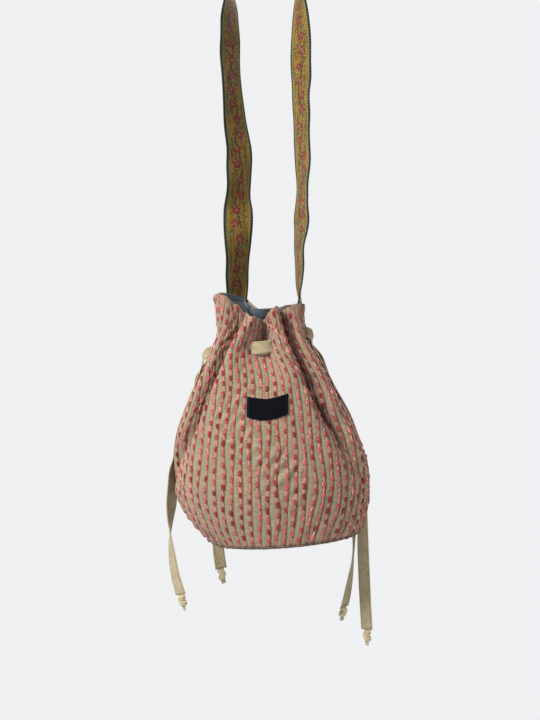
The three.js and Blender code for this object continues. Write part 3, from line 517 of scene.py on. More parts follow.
def profile(height, sizes):
    base, belly, neck, rim = sizes
    above = rim + (neck - rim) * np.exp((NECK_HEIGHT - height) / COLLAR_FALL)
    up = np.clip((height - BELLY_HEIGHT) / (NECK_HEIGHT - BELLY_HEIGHT), 0, 1)
    shoulder = belly - (belly - neck) * up**SHOULDER_CURVE
    low = belly - (belly - base) * ((BELLY_HEIGHT - height) / BELLY_HEIGHT) ** 2
    return np.where(height > NECK_HEIGHT, above, np.where(height > BELLY_HEIGHT, shoulder, low))


def sway(height):
    low = BASE_SWING * np.clip(1 - height / BELLY_HEIGHT, 0, 1) ** BASE_SWING_CURVE
    up = np.clip((height - BELLY_HEIGHT) / (NECK_HEIGHT - BELLY_HEIGHT), 0, 1)
    low = low + SHOULDER_SWING * np.sin(np.pi * up) ** 2
    return low + RIM_SWING * ramp(height, NECK_HEIGHT, RIM_HEIGHT)


def height_at(level, angles):
    if level <= 1:
        return np.full(np.shape(angles), level * NECK_HEIGHT)
    before, after, share = neighbours(angles, RIM_RISE[:, 0])
    rise = mix(RIM_RISE[before, 1], RIM_RISE[after, 1], share)
    return NECK_HEIGHT + (level - 1) * (RIM_HEIGHT - NECK_HEIGHT + rise)


def from_levels(level, levels, values):
    return np.array([np.interp(level, levels[::-1], row[::-1]) for row in values])


def pleat_stations(level):
    up = max(0, level - 1)
    folds = np.concatenate([PLEATS[:, 5:9], np.zeros((len(PLEATS), 1))], axis=1)
    angle = mix(from_levels(level, TURN_LEVELS, PLEATS[:, 1:4]), PLEATS[:, 0], up)
    share = mix(from_levels(level, FOLD_LEVELS, folds), PLEATS[:, 4], up)
    pinch = mix(PLEATS[:, 9], np.minimum(PLEATS[:, 9], RIM_PINCH), up)
    return np.stack([angle, FOLD_DEPTH * share, pinch], axis=1)


def fold_at(angles, stations):
    """Depth of the pleats at angles: narrow valleys where they are pinched."""
    before, after, eased = neighbours(angles, stations[:, 0])
    depth, pinch = stations[:, 1], stations[:, 2]
    rising = depth[after] >= depth[before]
    toward = np.where(rising, eased, 1 - eased)
    power = np.where(rising, pinch[after], pinch[before])
    crest = np.minimum(depth[after], depth[before])
    valley = np.maximum(depth[after], depth[before])
    return crest + (valley - crest) * toward**power


# Painted shade inside the pleats, by its row in the table: how dark each valley is painted where the
# folds close up tight
PLEAT_SHADE = {3: 0.8, 5: 0.55, 7: 0.3, 9: 1.0, 11: 0.8, 13: 0.6, 15: 0.3}
PLEAT_SHADE_REACH = 4.2  # degrees each way


def pleat_shade_at(angles, level):
    stations = pleat_stations(level)
    total = np.zeros(len(angles))
    for row, strength in PLEAT_SHADE.items():
        away = (angles - stations[row, 0] + 180) % 360 - 180
        depth = min(1, stations[row, 1] / (0.6 * FOLD_DEPTH))
        total += strength * depth * np.exp(-((away / PLEAT_SHADE_REACH) ** 2))
    return total


def surface(angles, level):
    stations = pleat_stations(level)
    height = height_at(level, angles)
    across, deep = profile(height, WIDTHS), profile(height, DEPTHS)
    radians = np.radians(angles)
    sine, cosine = np.sin(radians), np.cos(radians)
    normal = unit(np.stack([sine / across, -cosine / deep], axis=-1))
    fold = fold_at(angles, stations)
    return np.stack([across * sine - fold * normal[..., 0] + sway(height),
                     -deep * cosine - fold * normal[..., 1], height], axis=-1)


def pitch_at(level):
    return lengths_along(surface(np.linspace(-180, 180, 721), level))[-1] / (2 * PANEL_COLUMNS)


def angles_of(columns, level):
    """Angle of each column, measured along the cloth each way from where column 0 hangs."""
    height = min(level, 1) * NECK_HEIGHT
    plumb = PLUMB_LINE + height * math.tan(LEAN) - sway(height)
    shift = plumb * ramp(NECK_HEIGHT - height, 0, PLUMB_FADE) / pitch_at(level)
    columns = (columns + shift + PANEL_COLUMNS) % (2 * PANEL_COLUMNS) - PANEL_COLUMNS
    result = np.zeros(np.shape(columns))
    for side in (1, -1):
        fan = side * np.linspace(0, 180, 361)
        length = lengths_along(surface(fan, level))
        target = np.abs(columns) * length[-1] / PANEL_COLUMNS
        chosen = columns >= 0 if side > 0 else columns < 0
        result = np.where(chosen, np.interp(target, length, fan), result)
    return result


def cloth_points(columns, level):
    return surface(angles_of(columns, level), level)


def cloth_normals(columns, level):
    lower, upper = max(0, level - 0.02), min(2, level + 0.02)
    along = cloth_points(columns + 0.3, level) - cloth_points(columns - 0.3, level)
    up = cloth_points(columns, upper) - cloth_points(columns, lower)
    return unit(np.cross(along, up))


# Outer cloth: stitched columns run up it, and it swells into a channel between each two
def stitched_cloth():
    cloth = Cloth("stitched_cloth", 0.9, 0.12)
    across = cloth.x * COLUMN_PITCH
    off = across.wrapped(COLUMN_PITCH)
    ribs = cloth.y.wave(1.15)
    warp = across.wave(0.85)
    broad = cloth.noise(across * 0.05, cloth.y * 0.05)
    slubs = cloth.noise(across * 0.12, cloth.y * 0.9)
    cloth.dye(broad.between(0.35, 0.65), (168, 165, 136), (196, 168, 142))
    cloth.sink(slubs.between(0.3, 0.7), 138, 130, 104)
    cloth.sink(ribs.between(-1.1, 0.7), 118, 106, 82)
    blush = off.within(0.9, 1.4) * broad.between(0.3, 0.7) * 0.6
    cloth.paint(blush, 206, 130, 116)
    # Painted shade: a dark line right of each stitched column, where its groove is shaded from the
    # light on the left
    shade = (off - 2.1).within(0.5, 0.9) * slubs.between(0.2, 0.55) * 0.8
    cloth.paint(shade, 84, 48, 38)
    thread = off.within(0.5, 0.5) * 0.85
    cloth.paint(thread, 208, 126, 112)
    # Painted shade: the lower edge, where the cloth turns under to the base seam, darkened
    painted_under_shade = cloth.y.between(3.2, 1.0) * slubs.between(0.2, 0.6) * 0.8
    cloth.paint(painted_under_shade, 66, 46, 38)
    # Painted shade: the pleats' valleys darkened near black, by the weave's third number
    cloth.paint(cloth.z.between(0.2, 0.95) * 0.9, 30, 20, 18)
    return cloth.finish(ribs * 0.5 + warp * 0.35 + slubs, 0.35)


def stitch_thread():
    """Weave holds the place across a stitch and along it, and the stitch's own shade."""
    cloth = Cloth("stitch_thread", 0.6, 0.2)
    strands = (cloth.x + cloth.y * 0.12).wave(0.95)
    blotch = cloth.noise(cloth.x * 0.5, cloth.y * 0.35, cloth.z * 40, 2.0)
    cloth.dye(cloth.z.between(0.0, 0.6), (146, 24, 40), (206, 58, 76))
    cloth.paint(cloth.z.between(0.75, 0.95), 226, 138, 122)
    cloth.sink(strands.between(-1.0, 0.1), 110, 20, 30)
    # Painted highlight: pale peach glints along the thread's strands
    painted_highlight = strands.between(0.3, 1.0) * (cloth.z * 0.6 + blotch).between(0.55, 1.0) * 0.8
    cloth.paint(painted_highlight, 246, 190, 168)
    return cloth.finish(strands, 0.35)


STEPS = 10  # mesh steps across a channel
COLUMNS = np.arange(-PANEL_COLUMNS * STEPS, PANEL_COLUMNS * STEPS + 1) / STEPS
BELOW = np.linspace(0, 1, 146)
ABOVE = np.linspace(1, 2, 34)[1:]
LEVELS = np.concatenate([BELOW, ABOVE])

mean = np.array([cloth_points(COLUMNS, level) for level in LEVELS])
wrapped = np.concatenate([mean[:, -2:-1], mean, mean[:, 1:2]], axis=1)
across = np.gradient(wrapped, axis=1)[:, 1:-1]
up = np.gradient(mean, axis=0)
NORMALS = unit(np.cross(across, up))
ALONG = lengths_along(mean)
STITCH_PITCH = 10.9
RIM_SOFT = 1.1  # how far the rim's fold stands up
HEM_IN, HEM_DOWN = 4.0, 2.6  # how far the hem goes in and down to the base seam
phase = np.array([0.5 * (j % 2) for j in range(2 * PANEL_COLUMNS)])
phase += RNG.uniform(-0.1, 0.1, len(phase))


def round_noise(columns, along, seed, turns, reach, count=9):
    """Smooth waves over the cloth that close up round the pouch: turns round it, reach in mm."""
    source = np.random.default_rng(seed)
    total = np.zeros(np.shape(along))
    for _ in range(count):
        waves = int(source.integers(turns[0], turns[1])) * int(source.choice((-1, 1)))
        size = source.uniform(*reach)
        shift = source.uniform(0, 2 * math.pi)
        total += np.sin(math.pi * waves * columns / PANEL_COLUMNS + along / size + shift)
    return total / math.sqrt(count)


def relief(columns, along):
    """Height of the cloth over its mean surface: pillowed channels, drawn in at each stitch."""
    inside = np.abs(np.sin(np.pi * columns))
    pillow = 1.25 * inside**0.75 - 0.65
    nearest = np.round(columns).astype(int)
    shift = phase[nearest % (2 * PANEL_COLUMNS)]
    beat = np.cos(2 * np.pi * (along / STITCH_PITCH + shift))
    pucker = 0.28 * beat * np.exp(-((columns - nearest) / 0.22) ** 2)
    wander = 0.3 * round_noise(columns, along, 5, (8, 26), (6, 14))
    spots = ramp(round_noise(columns, along, 9, (2, 7), (18, 40)), -0.2, 1.0)
    crumple = 0.62 * spots * round_noise(columns, along, 7, (14, 44), (1.7, 4.2))
    return pillow + pucker + wander + crumple


# The columns wander a little to each side
WOBBLE = 0.11 * round_noise(COLUMNS[None], ALONG, 3, (5, 30), (7, 22))
stitched_at = COLUMNS[None] + WOBBLE
offset = relief(stitched_at, ALONG)
outside = mean + NORMALS * offset[..., None]
# Painted shade of the pleats' valleys, carried to the material as the weave's third number
pleat_shade = np.array([pleat_shade_at(angles_of(COLUMNS, level), level) for level in LEVELS])
weave = np.stack([stitched_at, ALONG, pleat_shade], axis=-1)

# The rim is turned in over a soft edge and lies against the lining
top_up = unit(mean[-1] - mean[-2])
edge = [
    outside[-1] - NORMALS[-1] * 0.5 * WALL * (1 - math.cos(t)) + top_up * RIM_SOFT * math.sin(t)
    for t in np.radians([20, 45, 70, 95, 120, 150, 180])
]
edge += [mean[-1 - row] - NORMALS[-1 - row] * WALL for row in range(2, 15, 2)]
edge_weave = [weave[-1] + (0, 0.5 * (i + 1), 0) for i in range(len(edge))]
# The lower edge is turned under to the base seam
under = [
    outside[0] - NORMALS[0] * HEM_IN * (1 - math.cos(t)) - (0, 0, HEM_DOWN * math.sin(t))
    for t in np.radians([15, 35, 55, 75, 90])
]
under_weave = [weave[0] - (0, 0.9 * (i + 1), 0) for i in range(len(under))]
skin = np.concatenate([under[::-1], outside, edge])
skin_weave = np.concatenate([under_weave[::-1], weave, edge_weave])
centre = PANEL_COLUMNS * STEPS
half_way = centre // 2
front = slice(centre - half_way, centre + half_way + 1)


def back_of(grid):
    return np.concatenate([grid[:, centre + half_way :], grid[:, 1 : centre - half_way + 1]], axis=1)


CLOTH = stitched_cloth()
THREAD = stitch_thread()
skin_placed = place(skin)
front_panel = sheet_mesh("stitched_front", skin_placed[:, front], skin_weave[:, front], CLOTH)
back_weave = back_of(skin_weave)
back_weave[..., 0] %= 2 * PANEL_COLUMNS
back_panel = sheet_mesh("stitched_back", back_of(skin_placed), back_weave, CLOTH)
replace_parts(front_panel, "outer_front_panel")
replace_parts(back_panel, "outer_back_panel")

# Stitches: a raised dash of thick thread every 10.9 mm of each column, and a thin strand between
DASH = (6.2, 4.5, 1.6)  # length, width and height
STRAND = (1.5, 0.5)  # width and height
DASH_GRID = (9, 9)  # points along and across one
STRAND_GRID = (7, 5)


def column_line(j):
    """Points, outward normals, across directions and lengths up one stitched column."""
    k = j * STEPS
    side = unit(across[:, k])
    shift = -WOBBLE[:, k, None] * STEPS * np.linalg.norm(across[:, k], axis=1)[:, None]
    return outside[:, k] + side * shift, NORMALS[:, k], side, ALONG[:, k]


def pad_grid(line, shape, middle, half_length, half_width, height, skew, strands, taper):
    points, normals, sides, length = line
    down, over = (np.linspace(-1, 1, count) for count in shape)
    s = middle + down * half_length
    centre_line = sample(s, length, points)
    out, side = unit(sample(s, length, normals)), unit(sample(s, length, sides))
    body = np.clip(1 - np.abs(down) ** taper, 0, 1) ** 0.6
    width = half_width * (0.6 + 0.4 * body)
    dome = np.clip(1 - np.abs(over) ** 2.4, 0, 1) ** 0.6
    lobes = 1 + 0.10 * np.cos(strands * math.pi * over)
    lift = height * body[:, None] * dome[None] * lobes[None] - 0.55 * (1 - dome)[None]
    lift = lift - 0.35 * (1 - body)[:, None]
    spread = over[None] * width[:, None] + skew * (down * half_length)[:, None]
    grid = (centre_line[:, None] + side[:, None] * spread[..., None]
            + out[:, None] * (lift + 0.15)[..., None])
    return grid, down * half_length, over * half_width


def pads_mesh(name, pads):
    """One piece of many stitches, each given as its column, grid, shade and measures."""
    vertices, marks, faces, count = [], [], [], 0
    for line, shape, shade, measures in pads:
        grid, length, width = pad_grid(line, shape, *measures)
        vertices.append(grid.reshape(-1, 3))
        marks.append(weave_grid(width, length, shade).reshape(-1, 3))
        faces += grid_faces(*shape, count)
        count += shape[0] * shape[1]
    piece = make_mesh(name, place(np.concatenate(vertices)), faces, THREAD, np.concatenate(marks))
    return piece


def stitch_piece(name, columns):
    pads = []
    for j in columns:
        line = column_line(j)
        first = 0.5 + RNG.uniform(-0.05, 0.05) - phase[(j - PANEL_COLUMNS) % (2 * PANEL_COLUMNS)]
        middles = (np.arange(-1, 40) + first) * STITCH_PITCH
        middles = middles[(middles > 3.0) & (middles < line[3][-1] - 3.2)]
        middles = middles + RNG.uniform(-0.45, 0.45, len(middles))
        tone = RNG.uniform(0.1, 0.6)
        # None lies under the label
        heights = np.interp(middles, line[3], LEVELS) * NECK_HEIGHT
        near_label = abs(j - PANEL_COLUMNS) * COLUMN_PITCH < LABEL[0] / 2 + 1
        middles = middles[~(near_label & (np.abs(heights - LABEL_MIDDLE) < LABEL[1] / 2 + 2))]
        for n, middle in enumerate(middles):
            long = DASH[0] / 2 * RNG.uniform(0.85, 1.15)
            wide = DASH[1] / 2 * RNG.uniform(0.85, 1.12)
            shade = float(np.clip(tone + RNG.uniform(-0.35, 0.35), 0, 0.8))
            skew = RNG.uniform(-0.12, 0.12)
            height = DASH[2] * RNG.uniform(0.85, 1.15)
            pads.append((line, DASH_GRID, shade, (middle, long, wide, height, skew, 3.0, 3.0)))
            if n + 1 < len(middles):
                between = (middle + middles[n + 1]) / 2
                strand = (between, STITCH_PITCH * 0.42, STRAND[0] / 2, STRAND[1], 0.0, 1.0, 6.0)
                pads.append((line, STRAND_GRID, 0.95, strand))
    return pads_mesh(name, pads)


# Columns of each panel, and the stitches laid on them
front_columns = np.arange(PANEL_COLUMNS // 2, 3 * PANEL_COLUMNS // 2)
back_columns = (front_columns + PANEL_COLUMNS) % (2 * PANEL_COLUMNS)
for side, panel, columns in (("front", front_panel, front_columns),
                             ("back", back_panel, back_columns)):
    stitches = stitch_piece("stitches_" + side, columns)


def oval(reach_x, reach_y, radius, spokes):
    angle = np.linspace(0, 2 * math.pi, spokes + 1)
    return reach_x * radius[:, None] * np.cos(angle), reach_y * radius[:, None] * np.sin(angle)


# Base: the same cloth, its columns running from front to back, a little slack
def base_piece():
    sag, rings, spokes = 1.6, 26, 180
    radius = np.sqrt(np.linspace(0, 1, rings))
    x, y = oval(WIDTHS[0] - 3.4, DEPTHS[0] - 3.4, radius, spokes)
    pillow = 0.9 * np.abs(np.sin(np.pi * x / COLUMN_PITCH)) ** 0.75 - 0.5
    z = -2.3 + sag * (radius[:, None] ** 2 - 1) * 0.4 - pillow * ramp(1 - radius[:, None], 0, 0.05)
    points = np.stack([x + BASE_SWING, y, z], axis=-1)[:, ::-1]
    marks = np.stack([x / COLUMN_PITCH, y + 2 * DEPTHS[0], np.zeros(x.shape)], axis=-1)[:, ::-1]
    return sheet_mesh("stitched_base", place(points), marks, CLOTH)


def base_stitches():
    pads, count = [], 40
    down, left = np.tile([0, 0, -1.0], (count, 1)), np.tile([-1.0, 0, 0], (count, 1))
    for j in range(-7, 8):
        x = j * COLUMN_PITCH
        room = (DEPTHS[0] - 5) * math.sqrt(max(0, 1 - (x / (WIDTHS[0] - 5)) ** 2))
        steps = np.linspace(-room, room, count)
        sink = -2.1 - 0.65 * (1 - (steps / DEPTHS[0]) ** 2)
        line = (np.stack([np.full(count, x + BASE_SWING), steps, sink], axis=1), down, left,
                steps + room)
        start = STITCH_PITCH * (0.4 + 0.5 * (j % 2))
        for middle in np.arange(start, 2 * room - 3, STITCH_PITCH):
            shade = float(RNG.uniform(0, 1))
            pads.append((line, DASH_GRID, shade, (middle, 2.8, 1.8, 1.1, 0.0, 3.0, 3.0)))
    return pads_mesh("stitches_base", pads)


base = base_piece()
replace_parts(base, "base_panel")
under_stitches = base_stitches()


# Lining: smooth inside the drawstrings, following the pleats at the rim
def chambray():
    cloth = Cloth("lining_chambray", 0.85, 0.2)
    warp, weft = cloth.x.wave(0.9), cloth.y.wave(0.9)
    streak = cloth.noise(cloth.x * 0.8, cloth.y * 0.06)
    cross = cloth.noise(cloth.x * 0.06, cloth.y * 0.8)
    cloth.dye(streak.between(0.3, 0.7), (60, 70, 78), (92, 104, 114))
    cloth.paint(cross.between(0.4, 0.8) * 0.5, 118, 130, 140)
    cloth.sink((warp * weft).between(-1.0, 0.4), 44, 54, 64)
    # Painted shade: the lining darkened everywhere below the rim, deep inside the pouch
    cloth.paint(cloth.y.between(388, 338) * 0.85, 18, 22, 27)
    return cloth.finish(warp * 0.4 + weft * 0.4 + streak, 0.25)


def lining_points(columns, level):
    angles = angles_of(columns, level)
    height = height_at(level, angles)
    capped = np.minimum(height, height_at(min(level, 1), angles))
    inset = pleat_stations(min(level, 1))[:, 1].max() + WALL + CLEARANCE + LINING_SLACK
    beside = TAPE_ROOM * ramp(capped, NECK_HEIGHT - ROOM_FROM, NECK_HEIGHT - ROOM_TO)
    radians = np.radians(angles)
    plain = np.stack([(profile(capped, WIDTHS) - inset - beside) * np.sin(radians) + sway(height),
                      -(profile(capped, DEPTHS) - inset) * np.cos(radians), height], axis=-1)
    follow = min(1, max(0, (level - LINING_FREE) / LINING_TURN))
    if follow == 0:
        return plain
    fold = fold_at(angles, pleat_stations(level))
    reach = (STRAP_WIDTH / 2 + 3) / rim_pitch
    room = np.zeros(len(columns))
    for seat in STRAP_SEATS:
        away = np.abs((columns - seat + PANEL_COLUMNS) % (2 * PANEL_COLUMNS) - PANEL_COLUMNS)
        room = np.maximum(room, 1 - ramp(away, reach, reach + 1.2))
    slack = CLEARANCE + 2.4 * (1 - follow) + 0.22 * fold
    inset = WALL + CLEARANCE + slack + room * (STRAP_THICKNESS + 4 * CLEARANCE)
    shaped = surface(angles, level) - cloth_normals(columns, level) * inset[:, None]
    return mix(plain, shaped, follow)


rim_pitch = pitch_at(2)
lining_levels = np.concatenate([np.linspace(LINING_START, 1, 60), np.linspace(1, 1.985, 56)[1:]])
quarter = 105  # steps of it round a quarter of the pouch
lining_columns = np.linspace(-PANEL_COLUMNS, PANEL_COLUMNS, 4 * quarter + 1)
lining = np.array([lining_points(lining_columns, level) for level in lining_levels])
gather = np.sin(lining_columns * 2.9 + 1.3 * np.sin(lining_columns * 0.7))
gather = gather * 0.5 + 0.5 * np.sin(lining_columns * 1.37 + 2)
amount = ramp(lining_levels, 0.5, 0.95) * (1 - ramp(lining_levels, 1.55, 1.9)) * 1.1
inward = np.stack([-lining[..., 0], -lining[..., 1], np.zeros(lining.shape[:2])], axis=-1)
lining = lining + unit(inward) * ((gather[None] + 1) * amount[:, None])[..., None]
CHAMBRAY = chambray()
# Weave of the lining in mm, across by its columns and up by its levels, and the columns of its front
# and back halves; the lining hangs narrower towards the neck than the outer cloth, so that it hangs
# smooth
lining_weave = weave_grid(lining_columns * COLUMN_PITCH, lining_levels * NECK_HEIGHT)
halves = {
    "front": np.arange(quarter, 3 * quarter + 1),
    "back": np.r_[3 * quarter : 4 * quarter + 1, 1 : quarter + 1],
}
for name, pick in halves.items():
    grid, marks = place(lining[:, pick]), lining_weave[:, pick]
    piece = slab_mesh("chambray_" + name, grid, LINING_WALL, marks, CHAMBRAY)
    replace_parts(piece, "lining_" + name)


def lining_floor():
    x, y = oval(WIDTHS[0] - 3.2, DEPTHS[0] - 3.2, np.linspace(0, 1, 12), 96)
    z = WALL + CLEARANCE + LINING_WALL + 0.25 * np.sin(x / 11) * np.sin(y / 9)
    marks = np.stack([x, y, np.zeros(x.shape)], axis=-1)
    middle = float(sway(lining_levels[0] * NECK_HEIGHT))
    points = np.stack([x + middle, y, z], axis=-1)
    return sheet_mesh("chambray_base", place(points), marks, CHAMBRAY)


floor_cloth = lining_floor()
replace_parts(floor_cloth, "lining_base")


# Drawstrings in their casing: in through a side pleat, round the neck and out again
RING_X = WIDTHS[2] - FOLD_DEPTH * SIDE_PLEAT - WALL - TAPE_TURN
RING_Y = DEPTHS[2] - FOLD_DEPTH + TAPE_BRIDGE
SECOND_DROP = 1.7  # the inner tape's lower edge shows this far below the outer one's


def drawstring(name, side, layer, lift):
    inwards = layer * (TAPE_THICKNESS + 2 * CLEARANCE)
    wide_ring, deep_ring = RING_X - inwards, RING_Y - inwards
    half = TAPE_THICKNESS / 2 + CLEARANCE
    turned_in, steps, climb = 24, 56, 9  # degrees, steps of the ring, steps of its climb
    entry = [(EXIT_REACH, -half, lift), ((EXIT_REACH + RING_X) / 2, -half, lift),
             (RING_X + 3.4, -half - 0.4, lift), (RING_X + 0.6, -half - 2.4, lift)]
    ring = []
    for i in range(steps + 1):
        angle = math.radians(mix(90 - turned_in, -270 + turned_in, i / steps))
        inner = ramp(min(i, steps - i) / climb, 0, 1)
        raised = lift * (1 - inner) - SECOND_DROP * layer * inner
        x, y = (math.copysign(abs(v) ** RING_POINT, v) for v in (math.sin(angle), math.cos(angle)))
        ring.append((wide_ring * x, -deep_ring * y, raised))
    route = entry + ring + [(x, -y, z) for x, y, z in entry[::-1]]
    points = place([(side * x, y, NECK_HEIGHT + z) for x, y, z in route])
    upright = place([0, 0, 1]) - place([0, 0, 0])
    stations = np.stack([points, np.broadcast_to(upright, points.shape)], axis=1)
    fine, along = along_curve(stations, 260)
    return tape_mesh(name, fine[:, 0], fine[:, 1], 0.15, along, layer)


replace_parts(drawstring("casing_tape_left", -1, 0, 0.0), "drawstring_left")
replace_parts(drawstring("casing_tape_right", 1, 1, RIGHT_LIFT), "drawstring_right")


# Label: blank, lying on the channels with its middle sagging
def label_cloth():
    cloth = Cloth("label_cloth", 0.8, specular=0.1)
    ribs = cloth.y.wave(0.45)
    fine = cloth.noise(cloth.x * 1.2, cloth.y * 3.0, detail=2.0)
    cloth.dye(fine.between(0.3, 0.7), (4, 5, 11), (14, 16, 26))
    seam = (cloth.x.abs() - 18.6).within(0.16, 0.14) * cloth.y.wave(1.6).between(-0.2, 0.2)
    cloth.paint(seam * 0.7, 48, 52, 64)
    return cloth.finish(ribs * 0.5 + fine * 0.4 + seam, 0.2)


def label_piece():
    width, height, thick = LABEL
    row_pitch = np.linalg.norm(np.diff(mean, axis=1), axis=2).sum(axis=1) / (2 * PANEL_COLUMNS)
    across, up = width * np.linspace(-0.5, 0.5, 61), height * np.linspace(-0.5, 0.5, 31)
    sag = LABEL_SAG * (0.5 - (2 * across / width) ** 2)
    rows = []
    for v in up:
        row = []
        for x, level in zip(across, (LABEL_MIDDLE + v - sag) / NECK_HEIGHT):
            i = int(np.searchsorted(BELOW, level))
            share = (level - BELOW[i - 1]) / (BELOW[i] - BELOW[i - 1])
            k, part = divmod(centre + STEPS * x / row_pitch[i], 1)
            k = int(k)
            lower, upper = (mix(mean[n, k], mean[n, k + 1], part) for n in (i - 1, i))
            wave = LABEL_WAVE * abs(math.sin(math.pi * x / row_pitch[i]))
            row.append(mix(lower, upper, share) + NORMALS[i, k] * (LABEL_STAND + thick / 2 + wave))
        rows.append(row)
    return place(np.array(rows)), weave_grid(across, up)


label_grid, label_marks = label_piece()
label = slab_mesh("blank_label", label_grid, LABEL[2], label_marks, label_cloth())
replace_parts(label, "front_label")


# Shoulder strap: fall from the peg as a share of the drop to the rim, place and turn
STRAP_LEFT = [
    (0.887, -29.6, 22, 42), (0.831, -29.3, 20, 40), (0.781, -28.9, 17, 26), (0.733, -28.4, 14, 6),
    (0.695, -28.2, 12, 16), (0.65, -28, 10, 38), (0.554, -26.9, 7, 32), (0.453, -31.6, 4, 44),
    (0.353, -35.3, 2, 52), (0.252, -36.4, 1, 51), (0.181, -36, 0, 62), (0.136, -36, 0, 76),
]
STRAP_RIGHT = [
    (0.902, 35.6, 4, 82), (0.856, 35.7, 3, 77), (0.811, 35.8, 2, 74), (0.756, 37.2, 1, 66),
    (0.723, 38, 0, 62), (0.68, 38.4, 0, 68), (0.635, 38.6, 0, 71), (0.574, 39.4, 0, 61),
    (0.479, 38, 0, 60), (0.403, 37.6, 0, 56), (0.297, 37.4, 0, 48), (0.202, 36.4, 0, 60),
    (0.136, 36, 0, 76),
]
STRAP_DROP = HANG_HEIGHT - RIM_HEIGHT
CROSS = np.linspace(-0.5, 0.5, 5)


def sewn_rows(seat):
    rows = []
    middle = float(height_at(2, angles_of(np.array([seat]), 2))[0])
    columns = seat + STRAP_WIDTH / rim_pitch * CROSS
    for share in (1, 0.5, 0):
        level = 2 - STRAP_SEWN * share / (middle - NECK_HEIGHT)
        behind = WALL + 3 * CLEARANCE + STRAP_THICKNESS / 2
        points = cloth_points(columns, level) - cloth_normals(columns, level) * behind
        rows.append(place(points))
    return rows


def strap_rows():
    middles = [(x, y, -fall * STRAP_DROP, turned) for fall, x, y, turned in STRAP_LEFT]
    reach = HANG_RADIUS + STRAP_THICKNESS / 2
    for angle in np.linspace(0, math.pi, 13):
        middles.append((-reach * math.cos(angle), 0, reach * math.sin(angle) - HANG_RADIUS, 90))
    middles += [(x, y, -fall * STRAP_DROP, 180 - turned)
                for fall, x, y, turned in STRAP_RIGHT[::-1]]
    middles = np.array(middles, dtype=float)
    points = middles[:, :3]
    turned = np.radians(middles[:, 3])
    flat = np.stack([np.cos(turned), np.sin(turned), np.zeros(len(turned))], axis=1)
    free = ribbon_grid(points, flat, STRAP_WIDTH * CROSS)[0]
    left = [row[::-1] for row in sewn_rows(STRAP_SEATS[0])]
    right = sewn_rows(STRAP_SEATS[1])[::-1]
    return np.concatenate([left, free, right])


def floral_ribbon():
    cloth = Cloth("floral_ribbon", 0.75, 0.15)
    fuzz = cloth.noise(cloth.x * 0.55, cloth.y * 0.55) - 0.5
    fuzz_y = cloth.noise(cloth.x * 0.55 + 40, cloth.y * 0.55) - 0.5
    x, y = cloth.x + fuzz * 4.5, cloth.y + fuzz_y * 5.5
    streak = cloth.noise(cloth.x * 0.42, cloth.y * 0.035)
    fleck = cloth.noise(cloth.x * 1.3, cloth.y * 0.35)
    cloth.dye(streak.between(0.35, 0.62), (84, 80, 28), (158, 122, 30))
    cloth.paint(fleck.between(0.5, 0.68) * 0.8, 186, 116, 32)
    cloth.paint(fleck.between(0.48, 0.36) * 0.85, 44, 48, 22)
    vine = x - y.wave(62.0) * 3.6
    cloth.paint(vine.within(0.5, 0.4), 34, 48, 26)
    for shift, side in ((8.0, 2.6), (24.0, -2.2), (39.0, -3.0), (55.0, 2.0)):
        along, over = (y + shift).wrapped(62.0), x - side
        radius = (along * along + over * over).op("SQRT")
        turn_at = along.op("ARCTAN2", over)
        petal = (turn_at * 5.0).sin() * 0.9 + 4.1
        inside = (radius - petal).between(0.5, -0.3)
        cloth.paint(inside, 104, 16, 24)
        bright = (radius - petal * 0.62).within(0.7, 0.8) * fleck.between(0.4, 0.6)
        cloth.paint(bright, 176, 58, 48)
        cloth.paint((radius - 1.1).between(0.5, -0.2), 120, 124, 96)
    for shift, side, slope in ((0.0, 6.0, 0.8), (16.0, -6.4, -0.7), (31.0, 5.0, -0.8),
                               (47.0, -5.4, 0.7)):
        along = (y + shift).wrapped(62.0)
        over = x - side - along * slope
        leaf = (over * 0.75).abs() + (along * 0.34).abs()
        cloth.paint(leaf.between(1.6, 1.0), 40, 58, 40)
        cloth.paint(over.within(0.2, 0.25) * leaf.between(1.6, 1.0), 128, 138, 110)
    near, own = cloth.cells(x * 0.42, y * 0.42)
    buds = near.between(0.44, 0.3) * own.between(0.5, 0.54) * x.within(8.5, 2.0)
    cloth.paint(buds * 0.9, 92, 24, 30)
    sprig = near.between(0.36, 0.26) * own.between(0.3, 0.26) * x.within(8.5, 2.0)
    cloth.paint(sprig * 0.8, 134, 140, 108)
    edge_line = (cloth.x.abs() - 11.9).within(0.25, 0.25)
    cloth.paint(edge_line, 140, 136, 58)
    border = cloth.x.abs().between(12.1, 12.5)
    cloth.paint(border, 30, 38, 28)
    dots = (cloth.x.abs() - 12.9).within(0.3, 0.3) * cloth.y.wrapped(3.0).within(0.55, 0.4)
    cloth.paint(dots * 0.85, 150, 146, 104)
    threads = cloth.y.wave(0.6) * 0.5 + cloth.x.wave(0.9) * 0.3
    cloth.sink(threads.between(-1.0, 0.3), 24, 22, 14)
    return cloth.finish(threads + fleck * 1.5 + border * 0.8, 0.3)


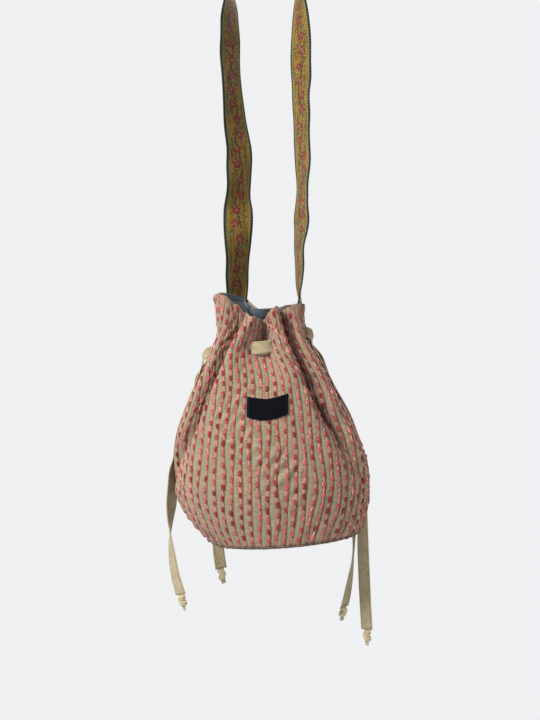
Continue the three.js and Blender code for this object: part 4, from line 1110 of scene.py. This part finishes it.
stations = strap_rows()
order = [2, 0, 1, 3, 4]
fine, strap_along = along_curve(stations[:, order], 330)
fine = fine[:, np.argsort(order)]
strap_across = np.linspace(-0.5, 0.5, 17)
strap_grid = np.stack([sample(strap_across, CROSS, row) for row in fine])
curl = np.abs(2 * strap_across) ** 3
ends = ramp(strap_along, 8, 40) * ramp(strap_along[-1] - strap_along, 8, 40)
flutter = np.sin(strap_along / 8.3 + 1.2 * np.sin(strap_along / 23)) * ends
left_edge = np.where(strap_across < 0, 1.0, 0.35)
strap_grid = strap_grid + normals_of(strap_grid) * (
    0.7 * flutter[:, None] * (curl * left_edge)[None, :])[..., None]
strap_weave = weave_grid(strap_across * STRAP_WIDTH, strap_along)
strap = slab_mesh("ribbon_strap", strap_grid, STRAP_THICKNESS, strap_weave, floral_ribbon())
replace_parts(strap, "shoulder_strap")


# Studio: a pale floor below the hanging pouch, plain soft light and a pale background
AIM = (0, 0, -0.5)  # what the lamps point at


def pale_floor():
    material = bpy.data.materials.new("pale_floor")
    material.use_nodes = True
    shader = material.node_tree.nodes["Principled BSDF"]
    shader.inputs["Base Color"].default_value = (0.84, 0.84, 0.84, 1)
    shader.inputs["Roughness"].default_value = 0.9
    mesh = bpy.data.meshes.new("floor")
    corners = [(-0.9, -0.75, -1.1), (0.9, -0.75, -1.1), (0.9, 0.5, -1.1), (-0.9, 0.5, -1.1)]
    mesh.from_pydata(corners, [], [(0, 1, 2, 3)])
    mesh.materials.append(material)
    add_object("floor", mesh)


def soft_light(name, location, size, watts):
    data = bpy.data.lights.new(name, "AREA")
    data.shape = "DISK"
    data.size = size
    data.energy = watts
    lamp = add_object(name, data)
    lamp.location = location
    direction = np.array(AIM) - np.array(location)
    flat = math.hypot(direction[0], direction[1])
    lamp.rotation_euler = (math.atan2(flat, -direction[2]), 0,
                           math.atan2(direction[1], direction[0]) - math.pi / 2)


def pale_world(ambient):
    world = bpy.data.worlds.new("pale_world")
    bpy.context.scene.world = world
    world.use_nodes = True
    tree = world.node_tree
    light = tree.nodes["Background"]
    light.inputs["Color"].default_value = (0.95, 0.97, 1.0, 1)
    light.inputs["Strength"].default_value = ambient
    seen = add_node(tree, "Background", {"Color": (0.87, 0.875, 0.885, 1)})
    rays = add_node(tree, "LightPath", {}).outputs["Is Camera Ray"]
    pick = add_node(tree, "MixShader", {0: rays, 1: light.outputs[0], 2: seen.outputs[0]})
    tree.links.new(pick.outputs[0], tree.nodes["World Output"].inputs["Surface"])


pale_floor()
pale_world(0.36)
soft_light("key", (-0.95, -0.75, 0.35), 0.45, 40)
soft_light("fill", (1.0, -0.9, -0.2), 0.9, 8)
soft_light("back", (0.5, 1.1, 0.3), 0.9, 20)
bpy.context.scene.view_settings.view_transform = "Standard"
